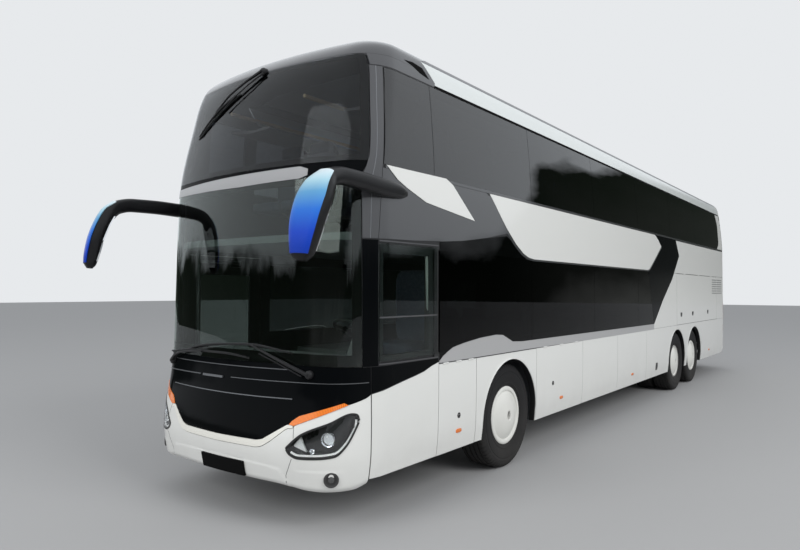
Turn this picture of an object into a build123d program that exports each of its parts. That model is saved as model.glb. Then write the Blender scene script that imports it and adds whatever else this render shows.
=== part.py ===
"""Double-deck touring coach on three axles, left-hand drive. Millimetres, +Z up.

The coach faces -Y and its driver's side (its left) is +X. Shapes are drawn in stations:
y runs rearward from the bumper's face and z up from the road. Every piece is moved
by SHIFT as it is saved, so that the origin lies under the middle of the whole coach.
"""
import os
from math import atan2, cos, pi, radians, sin, sqrt

from build123d import *

os.makedirs("parts", exist_ok=True)

# Driving dimensions
LENGTH = 14000
HALF_WIDTH = 1275
HEIGHT = 4000
FRONT_OVERHANG = 2750
WHEELBASE = 6700
TANDEM = 1350
SKIRT = 390
LIP = 310
WALL = 60
LEAF = 40
GLASS = 12
SEAM = 6
REAR_CORNER = 300
BARREL = 9

# Decks
LOW_DECK = 430
LOW_PLATE = 50
HIGH_DECK = 2300
HIGH_PLATE = 60
REAR_DECK = 1200
REAR_DECK_START = 8650

# Wheels
TYRE_R = 538
TYRE_W = 315
RIM_R = 286
TRACK_HALF = 1070
TWIN_OUTER = 1092
TWIN_INNER = 748
ARCH_R = 592
KINGPIN_X = 900

# Heights of the belt lines
BELT = 1250
SCREEN_SPLIT = (2750, 2850)
COVE = 3670

# Mirrors
MIRROR_X = 1390
MIRROR_REACH = 1525
MIRROR_FRONT = -460
MIRROR_HEAD = (2040, 2560)
HEAD_WIDE = 240
HEAD_DEEP = 120
HEAD_LEAN = -9
ARM_R = 52

SHIFT = -(LENGTH + BARREL + MIRROR_FRONT) / 2
AXLES = (FRONT_OVERHANG, FRONT_OVERHANG + WHEELBASE, FRONT_OVERHANG + WHEELBASE + TANDEM)

# Body sections: height, nose station, half width, bow radius, corner's end station, tail setback
CORNER_END = 650
SECTIONS = (
    (LIP, 40, 1240, 4500, CORNER_END, 20),
    (600, 0, 1268, 4500, CORNER_END, 0),
    (1050, 110, 1275, 4500, CORNER_END, 0),
    (1300, 150, 1275, 4500, CORNER_END, 0),
    (2750, 200, 1272, 4000, CORNER_END, 0),
    (2850, 215, 1270, 4000, CORNER_END, 0),
    (3400, 320, 1235, 4000, 780, 25),
    (3770, 430, 1190, 4200, 860, 60),
    (3860, 500, 1165, 4500, 900, 110),
    (3930, 600, 1100, 4500, 960, 190),
    (3985, 780, 900, 4500, 1050, 330),
    (HEIGHT, 1100, 600, 4500, 1260, 600),
)
ROOF_TURN = 3800


def save(node, shape):
    """Move a piece from stations to the shared frame and write it."""
    export_step(Pos(0, SHIFT, 0) * shape, f"parts/{node}.step")


def box(x0, x1, y0, y1, z0, z1):
    return Pos((x0 + x1) / 2, (y0 + y1) / 2, (z0 + z1) / 2) * Box(x1 - x0, y1 - y0, z1 - z0)


def side_prism(points, x0, x1):
    """A shape drawn as (y, z) points and pulled across the coach."""
    outline = Polyline(*[(x0, y, z) for y, z in points], close=True)
    return extrude(make_face(outline), x1 - x0, dir=(1, 0, 0))


def front_prism(points, y0, y1):
    """A shape drawn as (x, z) points and pulled along the coach."""
    outline = Polyline(*[(x, y0, z) for x, z in points], close=True)
    return extrude(make_face(outline), y1 - y0, dir=(0, 1, 0))


def rod_x(x0, x1, y, z, radius):
    return Pos((x0 + x1) / 2, y, z) * Rot(0, 90, 0) * Cylinder(radius, x1 - x0)


def rod_z(x, y, z0, z1, radius):
    return Pos(x, y, (z0 + z1) / 2) * Cylinder(radius, z1 - z0)


def bar(start, end, radius):
    """A round bar between two points."""
    line = Line(start, end)
    return sweep(Plane(origin=start, z_dir=line % 0) * Circle(radius), line)


def mirrored(shape):
    return mirror(shape, Plane.YZ)


def both(shape):
    return group(shape, mirrored(shape))


def join(*shapes):
    """Fuse shapes into one."""
    return group(shapes[0].fuse(*shapes[1:]))


def group(*shapes):
    """Hold solids that don't touch as one shape."""
    solids = [s for shape in shapes for s in shape.solids()]
    return Compound([s if s.is_valid else s.fix() for s in solids])


def common(shape, zone):
    """The part of a shape inside a zone."""
    return group(shape.intersect(zone))


def less(shape, *tools):
    """A shape with tools cut out of it."""
    return group(shape.cut(*[t for tool in tools for t in tool.solids()]))


def plan(z, nose, half, bow, corner_y, tail):
    """Outline of the body at one height: bowed nose, round corners, straight sides.

    The corner's radius is the one that meets the bow and ends on the side at corner_y.
    """
    middle = nose + bow
    corner = (bow ** 2 - half ** 2 - (middle - corner_y) ** 2) / (2 * (bow - half))
    turn = atan2(half - corner, middle - corner_y)
    halfway = (turn + pi / 2) / 2
    touch = (bow * sin(turn), middle - bow * cos(turn))
    knee = (half - corner + corner * sin(halfway), corner_y - corner * cos(halfway))
    back = tail - REAR_CORNER
    inner = half - REAR_CORNER
    bulge = REAR_CORNER * sin(pi / 4)
    edges = [
        ThreePointArc((-touch[0], touch[1], z), (0, nose, z), (touch[0], touch[1], z)),
        ThreePointArc((touch[0], touch[1], z), (knee[0], knee[1], z), (half, corner_y, z)),
        Line((half, corner_y, z), (half, back, z)),
        ThreePointArc((half, back, z), (inner + bulge, back + bulge, z), (inner, tail, z)),
        Line((inner, tail, z), (-inner, tail, z)),
        ThreePointArc((-inner, tail, z), (-inner - bulge, back + bulge, z), (-half, back, z)),
        Line((-half, back, z), (-half, corner_y, z)),
        ThreePointArc((-half, corner_y, z), (-knee[0], knee[1], z), (-touch[0], touch[1], z)),
    ]
    return Wire(edges)


def hull(inset):
    """The closed body form, drawn inset all round by the wall's thickness."""
    wires = []
    for z, nose, half, bow, corner_y, setback in SECTIONS:
        drop = inset if z > ROOF_TURN else 0
        wires.append(plan(z - drop, nose + inset, half - inset, bow - inset, corner_y,
                          LENGTH - setback - inset))
    solid = Solid.make_loft(wires, True)
    if inset:
        foot = extrude(solid.faces().sort_by(Axis.Z)[0], 100, dir=(0, 0, -1))
        solid = solid.fuse(foot)
    return solid


outer = hull(0)
pane_depth = hull(GLASS)
core = hull(WALL)
leaf_core = hull(LEAF)
shell = less(outer, core)

# Borders between the front pieces and the sides
FAR = 1500
FRONT_EDGE = ((-FAR, 200), (490, 200), (490, 1050), (430, BELT), (430, 2750), (480, 2850),
              (600, COVE), (600, 3770), (-FAR, 3770))
LIP_V = ((-FAR, 0), (FAR, 0), (FAR, 1060), (1170, 986), (745, 812), (510, 675), (0, 662),
         (-510, 675), (-745, 812), (-1170, 986), (-FAR, 1060))
front_zone = side_prism(FRONT_EDGE, -FAR, FAR)
front_shell = common(shell, front_zone)
lip_zone = front_prism(LIP_V, -FAR, FAR)
below_belt = box(-FAR, FAR, -FAR, FAR, 0, BELT)

# Lamps are set in pockets of the bumper
HEADLAMP = ((735, 640), (765, 592), (860, 565), (1090, 580), (1200, 665), (1240, 860), (1200, 912), (860, 756))
AMBER = ((745, 812), (1160, 978), (1160, 1010), (870, 905), (750, 840))
lamp_zone = both(front_prism(HEADLAMP, -FAR, 480))
amber_zone = both(front_prism(AMBER, -FAR, 440))
save("headlamps", common(front_shell, lamp_zone))
save("lamps_amber", less(common(front_shell, amber_zone), lamp_zone))

# Bumper, mask and windscreens
front_glass = less(common(outer, front_zone), pane_depth)
TOW_X = 420
TOW_FRONT_Z = 430
TOW_REAR_Z = 470
TOW_R = 16


def tow_bore(y, z):
    return Pos(TOW_X, y, z) * Rot(90, 0, 0) * Cylinder(TOW_R, 400)


save("bumper_front", less(common(front_shell, lip_zone), lamp_zone, amber_zone, tow_bore(0, TOW_FRONT_Z)))
save("mask_front", less(common(front_shell, below_belt), lip_zone, lamp_zone, amber_zone))
save("windscreen_lower", common(front_glass, box(-FAR, FAR, -FAR, FAR, BELT, SCREEN_SPLIT[0])))
save("windscreen_upper", common(front_glass, box(-FAR, FAR, -FAR, FAR, SCREEN_SPLIT[1], 3770)))
save("band_front", common(front_shell, box(-FAR, FAR, -FAR, FAR, *SCREEN_SPLIT)))
print("front done")

# Doorways, flaps and wheel arches that open the sides, as (y, z) limits
DOOR_TOP = 2200
FRONT_DOOR = (560, 1500)
MIDDLE_DOOR = (5150, 6450)
LUGGAGE = (9450, 13000, 1215, 2185)
SERVICE_FRONT = (1380, 2030, SKIRT, 1200)
SERVICE_MIDDLE = (3360, 4740, SKIRT, 1200)
HATCH = (850, 560, 1500)
arches = group(*[rod_x(-FAR, FAR, y, TYRE_R, ARCH_R) for y in AXLES],
               *[box(-FAR, FAR, y - ARCH_R, y + ARCH_R, 0, TYRE_R) for y in AXLES])

# Panes, as outlines in (y, z), cut into lights by narrow seams
UPPER_BAND = ((600, 2840), (13120, 2840), (13320, 2960), (13340, 3420), (13180, COVE), (710, COVE))
LOWER_BAND = ((1370, 1300), (7950, 1300), (8510, 1690), (9120, 2060), (9650, 2520), (9410, 2790),
              (8020, 2790), (8420, 2620), (7670, 2200), (1370, 2200))
DRIVER_LIGHT = (540, 1310, 1260, 2210)
SEAMS_HIGH = (1310, 3240, 5170, 7100, 9030, 10960)
SEAMS_LOW = (3240, 5170, 7100, 7900)
BORDER = 70


def across(y0, y1, z0, z1):
    """A block over the coach's left half between two stations and two heights."""
    return box(0, FAR, y0, y1, z0, z1)


def seams(stations, z0, z1):
    return group(*[across(y - SEAM / 2, y + SEAM / 2, z0, z1) for y in stations])


def lights(edges, z0, z1):
    """Window openings between the seams, each a border smaller than its pane."""
    return group(*[across(a + BORDER, b - BORDER, z0 + BORDER, z1 - BORDER)
                   for a, b in zip(edges, edges[1:])])


def trimmed(y0, y1, z0, z1):
    """The place a leaf fills, a seam smaller than its opening."""
    return across(y0 + SEAM, y1 - SEAM, z0, z1 - SEAM)


def hinge_barrels(y0, y1, x, z, radius):
    """Three barrels of a hinge lying along the top of a flap."""
    pitch = (y1 - y0) / 3
    return group(*[Pos(x, y0 + pitch * (k + 0.5), z) * Rot(90, 0, 0) * Cylinder(radius, 90)
                   for k in range(3)])


# The sides are drawn on the left and mirrored for the right
SLACK = 0.5
glass_shell = less(outer, pane_depth)
upper_panes = less(common(glass_shell, side_prism(UPPER_BAND, 0, FAR)), seams(SEAMS_HIGH, 2800, 3700))
lower_panes = less(common(glass_shell, side_prism(LOWER_BAND, 0, FAR)), seams(SEAMS_LOW, 1200, 2900))
driver_pane = common(glass_shell, across(*DRIVER_LIGHT))
openings_high = lights((700, *SEAMS_HIGH, 13260), 2840, 3670)
side = across(0, LENGTH, SKIRT, COVE)
rear_mid = box(-900, 900, LENGTH - 400, LENGTH + 10, 0, COVE)
lamp_rear = box(1000, FAR, LENGTH - 250, LENGTH + 10, 900, 1600)
side_shell = less(common(shell, side), front_zone, rear_mid, arches, upper_panes, openings_high,
                  across(*LUGGAGE), lamp_rear,
                  hinge_barrels(LUGGAGE[0], LUGGAGE[1], HALF_WIDTH, LUGGAGE[3] - SEAM / 2, BARREL + SLACK))
leaf_shell = less(outer, leaf_core)


def flap(limits, x):
    """A leaf hinged along its top by three barrels."""
    y0, y1, z0, z1 = limits
    leaf = common(leaf_shell, trimmed(y0, y1, z0, z1))
    return join(leaf, hinge_barrels(y0, y1, x, z1 - SEAM / 2, BARREL))


# Left side: driver's window, two service flaps and a luggage flap
services = (SERVICE_FRONT, SERVICE_MIDDLE)
driver_opening = across(610, 1240, 1330, 2140)
notches = group(*[hinge_barrels(a, b, HALF_WIDTH, d - SEAM / 2, BARREL + SLACK) for a, b, c, d in services])
wall_left = less(side_shell, lower_panes, driver_pane, driver_opening, notches,
                 lights((1370, *SEAMS_LOW), 1300, 2200),
                 *[across(a, b, 0, d) for a, b, c, d in services])
save("wall_left", wall_left)
save("windows_left", group(upper_panes, lower_panes, driver_pane))
save("luggage_flap_left", flap(LUGGAGE, HALF_WIDTH))
save("service_flap_front", flap(SERVICE_FRONT, HALF_WIDTH))
save("service_flap_middle", flap(SERVICE_MIDDLE, HALF_WIDTH))
print("left", len(wall_left.solids()))

# Right side: two doorways and a luggage flap
right_panes = less(lower_panes, across(0, FRONT_DOOR[1] + 60, 0, HEIGHT),
                   across(MIDDLE_DOOR[0] - 60, MIDDLE_DOOR[1] + 60, 0, DOOR_TOP + 30))
doorways = group(*[across(a, b, 0, DOOR_TOP) for a, b in (FRONT_DOOR, MIDDLE_DOOR)])
wall_right = less(side_shell, right_panes, doorways,
                  lights((1560, 3240, MIDDLE_DOOR[0] - 60), 1300, 2200),
                  lights((MIDDLE_DOOR[1] + 60, 7900), 1300, 2200))
save("wall_right", mirrored(wall_right))
save("windows_right", mirrored(group(upper_panes, right_panes)))
save("luggage_flap_right", mirrored(flap(LUGGAGE, HALF_WIDTH)))
print("right", len(wall_right.solids()))

# Door leaves, each carried by a cranked arm on a turning post
ARM_REACH = 500
POST_X = 1140
POST_R = 22
CRANK = (88, 146)
PIN_R = 12
ARM_HEIGHTS = (520, 2130)
POST_FROM_JAMB = 60


def door(name, y0, y1):
    """Leaf, its glass and its arms, drawn on the left and mirrored to the right."""
    place = trimmed(y0, y1, SKIRT, DOOR_TOP)
    leaf = common(leaf_shell, place)
    light = across(y0 + 90, y1 - 90, 600, 2050)
    pane = common(common(glass_shell, light), place)
    sight = across(y0 + 140, y1 - 140, 650, 2000)
    post_y = y0 + POST_FROM_JAMB
    pin_y = post_y + ARM_REACH
    brackets = group(*[join(box(POST_X - 25, HALF_WIDTH - LEAF, pin_y - 30, pin_y + 30, z - 45, z - 25),
                            box(POST_X - 25, HALF_WIDTH - LEAF, pin_y - 30, pin_y + 30, z + 25, z + 45))
                       for z in ARM_HEIGHTS])
    frame = join(less(leaf, pane, sight), less(common(brackets, outer), leaf_shell))
    post = rod_z(POST_X, post_y, LOW_DECK, HIGH_DECK - HIGH_PLATE, POST_R)
    arms = [post]
    for z in ARM_HEIGHTS:
        knee = (POST_X - CRANK[1], post_y + CRANK[0], z)
        arms.append(bar((POST_X, post_y, z), knee, 16))
        arms.append(bar(knee, (POST_X, pin_y, z), 16))
        arms.append(Pos(*knee) * Sphere(16))
        arms.append(rod_z(POST_X, pin_y, z - 45, z + 45, PIN_R))
        arms.append(rod_z(POST_X, pin_y, z - 24, z + 24, 20))
    frame = less(frame, *[rod_z(POST_X, pin_y, z - 50, z + 50, PIN_R) for z in ARM_HEIGHTS])
    save(name, mirrored(frame))
    save(name + "_glass", mirrored(pane))
    save(name + "_arms", mirrored(join(*arms)))
    print(name, len(frame.solids()), len(join(*arms).solids()))


door("front_door", *FRONT_DOOR)
door("middle_door", *MIDDLE_DOOR)

# Rear wall with its window and the engine hatch
REAR_WINDOW = (830, 2900, 3560)
rear_pane = common(glass_shell, box(-REAR_WINDOW[0], REAR_WINDOW[0], LENGTH - 300, LENGTH + 10,
                                    *REAR_WINDOW[1:]))
rear_light = box(-REAR_WINDOW[0] + BORDER, REAR_WINDOW[0] - BORDER, LENGTH - 300, LENGTH + 10,
                 REAR_WINDOW[1] + BORDER, REAR_WINDOW[2] - BORDER)
hatch_opening = box(-HATCH[0], HATCH[0], LENGTH - 300, LENGTH + 10, HATCH[1], HATCH[2])


def hatch_barrels(radius):
    return group(*[rod_x(x - 45, x + 45, LENGTH, HATCH[2] - SEAM / 2, radius) for x in (-600, 0, 600)])


rear = less(common(common(shell, rear_mid), box(-900, 900, 0, LENGTH + 10, SKIRT, COVE)),
            rear_pane, rear_light, hatch_opening, hatch_barrels(BARREL + SLACK),
            tow_bore(LENGTH, TOW_REAR_Z))
save("wall_rear", rear)
save("window_rear", rear_pane)
hatch = common(leaf_shell, box(-HATCH[0] + SEAM, HATCH[0] - SEAM, LENGTH - 300, LENGTH + 10,
                               HATCH[1] + SEAM, HATCH[2] - SEAM))
save("engine_hatch", join(hatch, hatch_barrels(BARREL)))
tail_corner = common(common(shell, lamp_rear), side)
save("lamps_rear", both(tail_corner))

# Roof in two pieces: the dark cap in front and the pale cove behind
ROOF_SPLIT = 1200
roof_all = less(common(shell, box(-FAR, FAR, 0, LENGTH, COVE, HEIGHT + 10)), front_zone)
save("roof_cap", common(roof_all, box(-FAR, FAR, 0, ROOF_SPLIT, COVE, HEIGHT + 10)))
save("roof", common(roof_all, box(-FAR, FAR, ROOF_SPLIT, LENGTH, COVE, HEIGHT + 10)))
print("roof")

# Decks: wheel boxes, driver's platform, bulkheads and the stair
BOX_IN = 460
BOX_HALF = 660
BOX_TOP = 1150
SHEET = 20
PLATFORM = (250, 530, 2070, 850)
STAIR = (-1150, -560, 6650, 8450)
STEPS = 8
FORE = 480


floor_z = LOW_DECK - LOW_PLATE
box_y = (FRONT_OVERHANG - BOX_HALF, FRONT_OVERHANG + BOX_HALF)
box_solid = box(BOX_IN - SHEET, FAR, box_y[0] - SHEET, box_y[1] + SHEET, floor_z, BOX_TOP + SHEET)
box_void = box(BOX_IN, FAR, box_y[0], box_y[1], 0, BOX_TOP)
platform = less(box(PLATFORM[0], FAR, PLATFORM[1], PLATFORM[2], LOW_DECK, PLATFORM[3]),
                box(PLATFORM[0] + SHEET, FAR, PLATFORM[1] + SHEET, PLATFORM[2] - SHEET, 0,
                    PLATFORM[3] - SHEET))
rise = (HIGH_DECK - LOW_DECK) / STEPS
going = (STAIR[3] - STAIR[2]) / STEPS
NOSING = 30
treads = [box(STAIR[0], STAIR[1], STAIR[2] + going * k, STAIR[2] + going * (k + 1) + NOSING,
              LOW_DECK + rise * k, LOW_DECK + rise * (k + 1))
          for k in range(STEPS - 1)]
stringer = side_prism(((STAIR[2], LOW_DECK), (STAIR[2] + 300, LOW_DECK), (STAIR[3], HIGH_DECK - 400),
                       (STAIR[3], HIGH_DECK - HIGH_PLATE), (STAIR[3] - 60, HIGH_DECK - HIGH_PLATE),
                       (STAIR[2], LOW_DECK + 260)), STAIR[1], STAIR[1] + 30)
low = join(
    box(-FAR, FAR, FORE, REAR_DECK_START, floor_z, LOW_DECK),
    box(-FAR, FAR, REAR_DECK_START - 40, REAR_DECK_START, floor_z, HIGH_DECK - HIGH_PLATE),
    box(-FAR, FAR, REAR_DECK_START - 40, LENGTH, REAR_DECK - 50, REAR_DECK),
    box(-FAR, FAR, 13100, 13140, REAR_DECK, HIGH_DECK - HIGH_PLATE),
    box_solid, mirrored(box_solid), platform, *treads, stringer)
low = common(less(low, box_void, mirrored(box_void)), core)
save("deck_lower", low)
stairwell = box(STAIR[0] - 20, STAIR[1] + 30, STAIR[2] + 500, STAIR[3], 0, HEIGHT)
high = less(common(box(-FAR, FAR, 300, LENGTH, HIGH_DECK - HIGH_PLATE, HIGH_DECK), core), stairwell)
save("deck_upper", high)
print("decks", len(low.solids()), len(high.solids()))

# Frame under the decks
RAIL_X = (320, 440)
RAIL_Z = (260, floor_z)
HIGH_RAIL_Z = (REAR_DECK - 50 - 160, REAR_DECK - 50)
frame = join(
    *[both(box(*RAIL_X, 700, REAR_DECK_START, *RAIL_Z))],
    *[both(box(*RAIL_X, REAR_DECK_START - 120, REAR_DECK_START - 40, floor_z - 120, floor_z))],
    *[box(-RAIL_X[0], RAIL_X[0], y, y + 80, RAIL_Z[0] + 20, RAIL_Z[1] - 20)
      for y in (720, 2300, 3600, 5200, 6800, 8500)])
rear_frame = join(
    both(box(*RAIL_X, REAR_DECK_START, LENGTH - WALL - 40, *HIGH_RAIL_Z)),
    *[box(-RAIL_X[0], RAIL_X[0], y, y + 80, HIGH_RAIL_Z[0] + 20, HIGH_RAIL_Z[1] - 20)
      for y in (8700, 10080, 11600)],
    both(box(*RAIL_X, REAR_DECK_START, REAR_DECK_START + 80, RAIL_Z[0], HIGH_RAIL_Z[1])))
chassis = join(frame, rear_frame)
save("chassis_frame", chassis)
print("chassis", len(chassis.solids()))

# Axles and knuckles
LUG = (300, 340, 740, 780)
YOKE = (800, 850)
STUB_R = 60
BORE = 61
stub_out = TRACK_HALF + 90
front_beam = join(box(RAIL_X[1], YOKE[1], AXLES[0] - 60, AXLES[0] + 60, *RAIL_Z),
                  box(*YOKE, AXLES[0] - 50, AXLES[0] + 50, RAIL_Z[0], LUG[3]),
                  box(YOKE[0], KINGPIN_X + 40, AXLES[0] - 45, AXLES[0] + 45, LUG[0], LUG[1]),
                  box(YOKE[0], KINGPIN_X + 40, AXLES[0] - 45, AXLES[0] + 45, LUG[2], LUG[3]))
knuckle = join(rod_z(KINGPIN_X, AXLES[0], LUG[1], LUG[2], 38),
               rod_x(KINGPIN_X, stub_out, AXLES[0], TYRE_R, STUB_R))


def rear_axle(y, end, seat):
    """Axle tube with two towers that reach up to the frame rails."""
    return join(rod_x(-end, end, y, TYRE_R, STUB_R),
                both(box(seat - 60, seat + 60, y - 90, y + 90, TYRE_R - 40, HIGH_RAIL_Z[0])))


drive = rear_axle(AXLES[1], TWIN_OUTER + 90, 380)
tag = rear_axle(AXLES[2], stub_out, 380)
save("axles", group(front_beam, mirrored(front_beam), drive, tag))
save("knuckle_left", knuckle)
save("knuckle_right", mirrored(knuckle))

# Wheels
TYRE_PROFILE = ((RIM_R, 125), (410, TYRE_W / 2), (500, 150), (TYRE_R, 122))
RIM_BARREL = 11
RIM_HALF = 132
DISC = (50, 66)


def ring(profile):
    """Turn a closed (radius, offset) outline about the wheel's axis, X."""
    outline = Polyline(*[(offset, 0, radius) for radius, offset in profile], close=True)
    return revolve(make_face(outline), Axis.X, 360)


tyre_half = list(TYRE_PROFILE)
tyre = ring(tyre_half + [(r, -w) for r, w in reversed(tyre_half)])
rim = join(ring(((RIM_R, RIM_HALF), (RIM_R - RIM_BARREL, RIM_HALF), (RIM_R - RIM_BARREL, -RIM_HALF),
                 (RIM_R, -RIM_HALF))),
           ring(((RIM_R - RIM_BARREL, DISC[1]), (RIM_R - RIM_BARREL, DISC[0]), (BORE, DISC[0]),
                 (BORE, DISC[1]))))


def at(x, y):
    return Pos(x, y, TYRE_R)


save("tyre_front_left", at(TRACK_HALF, AXLES[0]) * tyre)
save("rim_front_left", at(TRACK_HALF, AXLES[0]) * rim)
save("tyre_front_right", mirrored(at(TRACK_HALF, AXLES[0]) * tyre))
save("rim_front_right", mirrored(at(TRACK_HALF, AXLES[0]) * rim))
save("tyre_tag_left", at(TRACK_HALF, AXLES[2]) * tyre)
save("rim_tag_left", at(TRACK_HALF, AXLES[2]) * rim)
save("tyre_tag_right", mirrored(at(TRACK_HALF, AXLES[2]) * tyre))
save("rim_tag_right", mirrored(at(TRACK_HALF, AXLES[2]) * rim))
twin_tyres = group(at(TWIN_OUTER, AXLES[1]) * tyre, at(TWIN_INNER, AXLES[1]) * tyre)
inner_rim = mirrored(rim)
twin_rims = join(at(TWIN_OUTER, AXLES[1]) * rim, at(TWIN_INNER, AXLES[1]) * rim,
                 at(0, AXLES[1]) * ring(((BORE + 40, TWIN_OUTER + DISC[0]), (BORE, TWIN_OUTER + DISC[0]),
                                         (BORE, TWIN_INNER + DISC[1]), (BORE + 40, TWIN_INNER + DISC[1]))))
save("tyres_drive_left", twin_tyres)
save("rims_drive_left", twin_rims)
save("tyres_drive_right", mirrored(twin_tyres))
save("rims_drive_right", mirrored(twin_rims))
print("wheels", len(twin_rims.solids()), len(rim.solids()))

# Engine block over the rear overhang
save("engine", box(-480, 480, 12300, 13600, 480, HIGH_RAIL_Z[0]))

# Dashboard, steering column and steering wheel
WHEEL_CENTRE = (650, 1020, 1480)
WHEEL_TILT = 28
dash = side_prism(((540, 850), (400, 1100), (400, 1240), (540, 1320), (760, 1290), (820, 1150), (640, 850)),
                  -450, 1100)
column_axis = Plane(origin=WHEEL_CENTRE, z_dir=(0, sin(radians(WHEEL_TILT)), cos(radians(WHEEL_TILT))))
column = column_axis * Pos(0, 0, -260) * Cylinder(30, 520 - 60)
steering = join(column_axis * Torus(225, 15), column_axis * Pos(0, 0, -10) * Cylinder(55, 40),
                *[column_axis * Rot(0, 0, a) * Pos(118, 0, 0) * Box(190, 30, 14) for a in (0, 120, 240)])
dash = common(join(dash, less(column, steering)), core)
save("dashboard", dash)
save("steering_wheel", steering)
print("dash", len(dash.solids()), len(steering.solids()))

# Seats, each a stand, a cushion and a back as blocks a millimetre apart
SEAT_PITCH = 830
SEAT_WIDTH = 450
SEAT_HEIGHT = 480
CUSHION = 100
BACK_TOP = 1150
DRIVER_BACK_TOP = 1230
SEAT_GAP = 1


def seats(count, width, top):
    """Some seats side by side on one stand, facing forward."""
    edge = -count * width / 2
    stand = box(-60, 60, -120, 120, 0, SEAT_HEIGHT - CUSHION - SEAT_GAP)
    cushion = box(edge, -edge, -230, 230, SEAT_HEIGHT - CUSHION, SEAT_HEIGHT)
    backs = [box(edge + width * k + 15, edge + width * (k + 1) - 15, 170, 270, SEAT_HEIGHT + SEAT_GAP, top)
             for k in range(count)]
    return group(stand, cushion, *backs)


pair = seats(2, SEAT_WIDTH, BACK_TOP)
low_rows = [(740, y) for y in (4000, 4830, 5660, 6490, 7320, 8150)] + [(-740, 3950), (-740, 4750)]
high_rows = [(x, 1500 + SEAT_PITCH * k) for k in range(14) for x in (705, -705)]
high_rows = [(x, y) for x, y in high_rows if not (x < 0 and STAIR[2] + 100 < y < STAIR[3] + 350)]
driver_seat = Pos(650, 1700, PLATFORM[3]) * seats(1, SEAT_WIDTH + 70, DRIVER_BACK_TOP)
save("seats_lower", group(driver_seat, *[Pos(x, y, LOW_DECK) * pair for x, y in low_rows]))
save("seats_upper", group(*[Pos(x, y, HIGH_DECK) * pair for x, y in high_rows]))

# Mirrors hung from curved arms ahead of the windscreen
MIRROR_YAW = (10.7, -23.5)


def mirror_unit(side, yaw):
    """One mirror: pod on the body side, arm reaching forward, head hanging down."""
    pod = box(1230, 1320, 560, 960, 2580, 2690)
    path = FilletPolyline((1290, 700, 2640), (1335, 250, 2672), (MIRROR_X, -150, 2640), (MIRROR_X, -300, 2360),
                          radius=90)
    arm = sweep(Plane(origin=path @ 0, z_dir=path % 0) * Circle(ARM_R), path)
    low, high = MIRROR_HEAD
    head_shape = Pos(MIRROR_X, -340, (low + high) / 2) * Rot(0, 0, yaw * side) * Rot(HEAD_LEAN, 0, 0) * Box(
        HEAD_WIDE, HEAD_DEEP, high - low)
    unit = join(pod, arm, head_shape)
    return unit if side > 0 else mirrored(unit)


reach = box(-MIRROR_REACH, MIRROR_REACH, MIRROR_FRONT, FAR, 0, HEIGHT)
mirrors = group(*[less(common(mirror_unit(side, yaw), reach), outer)
                  for side, yaw in ((1, MIRROR_YAW[0]), (-1, MIRROR_YAW[1]))])
save("mirrors", mirrors)
print("mirrors", mirrors.bounding_box())

# Wipers
low_left = join(bar((930, 100, 1200), (120, 20, 1400), 14), bar((350, 60, 1330), (-420, 50, 1370), 12),
                Pos(930, 180, 1200) * Rot(90, 0, 0) * Cylinder(22, 180))
save("wipers", less(low_left, outer))
print("end")
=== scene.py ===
"""Looks of a double-deck touring coach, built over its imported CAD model. Metres, +Z up."""

import bpy
import numpy as np
from mathutils import Matrix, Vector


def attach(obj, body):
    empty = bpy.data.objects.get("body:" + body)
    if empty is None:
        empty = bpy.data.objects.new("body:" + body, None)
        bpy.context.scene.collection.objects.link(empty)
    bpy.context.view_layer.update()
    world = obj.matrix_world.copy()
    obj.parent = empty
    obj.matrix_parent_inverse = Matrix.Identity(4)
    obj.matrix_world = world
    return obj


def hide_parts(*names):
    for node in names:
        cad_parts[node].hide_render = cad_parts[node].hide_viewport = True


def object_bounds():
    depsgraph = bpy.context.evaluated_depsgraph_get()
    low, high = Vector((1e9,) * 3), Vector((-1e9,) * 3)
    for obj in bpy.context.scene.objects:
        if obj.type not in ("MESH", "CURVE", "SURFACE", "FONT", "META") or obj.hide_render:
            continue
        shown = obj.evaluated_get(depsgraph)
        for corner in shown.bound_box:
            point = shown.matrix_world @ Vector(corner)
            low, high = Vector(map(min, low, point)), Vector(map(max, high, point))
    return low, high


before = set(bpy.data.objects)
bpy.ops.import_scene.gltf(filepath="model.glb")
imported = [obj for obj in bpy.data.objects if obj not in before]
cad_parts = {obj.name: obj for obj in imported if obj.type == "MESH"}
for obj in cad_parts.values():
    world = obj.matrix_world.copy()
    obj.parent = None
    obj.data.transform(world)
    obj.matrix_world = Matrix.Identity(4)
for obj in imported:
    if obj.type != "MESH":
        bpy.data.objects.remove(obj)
cad_box = [[float(c) for c in corner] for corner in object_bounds()]


# The studio: a pale level floor, a soft sky all round and two large lamps, with the camera at eye
# height ahead of the coach's left front corner. Stations count rearward from the nose, which the
# mirrors overreach; SHIFT takes them to the frame's Y.
MIRROR_REACH = 0.46
SHIFT = cad_box[0][1] + MIRROR_REACH
CAMERA_AT = (4.4131, -3.331 + SHIFT, 1.8449)
CAMERA_ANGLES = (37.1419, 1.3775, 0.214)
LENS_LENGTH = 28.84
SKY_LIGHT = 0.7


def looking(at, way, roll=0.0):
    """A placement at a point whose -Z looks along a way, turned about it by the roll."""
    way = np.array(way, float) / np.linalg.norm(way)
    level = np.cross(way, (0, 0, 1))
    level /= np.linalg.norm(level)
    above = np.cross(level, way)
    right = np.cos(roll) * level + np.sin(roll) * above
    upward = -np.sin(roll) * level + np.cos(roll) * above
    return Matrix.Translation(at) @ Matrix(np.column_stack((right, upward, -way)).tolist()).to_4x4()


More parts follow.
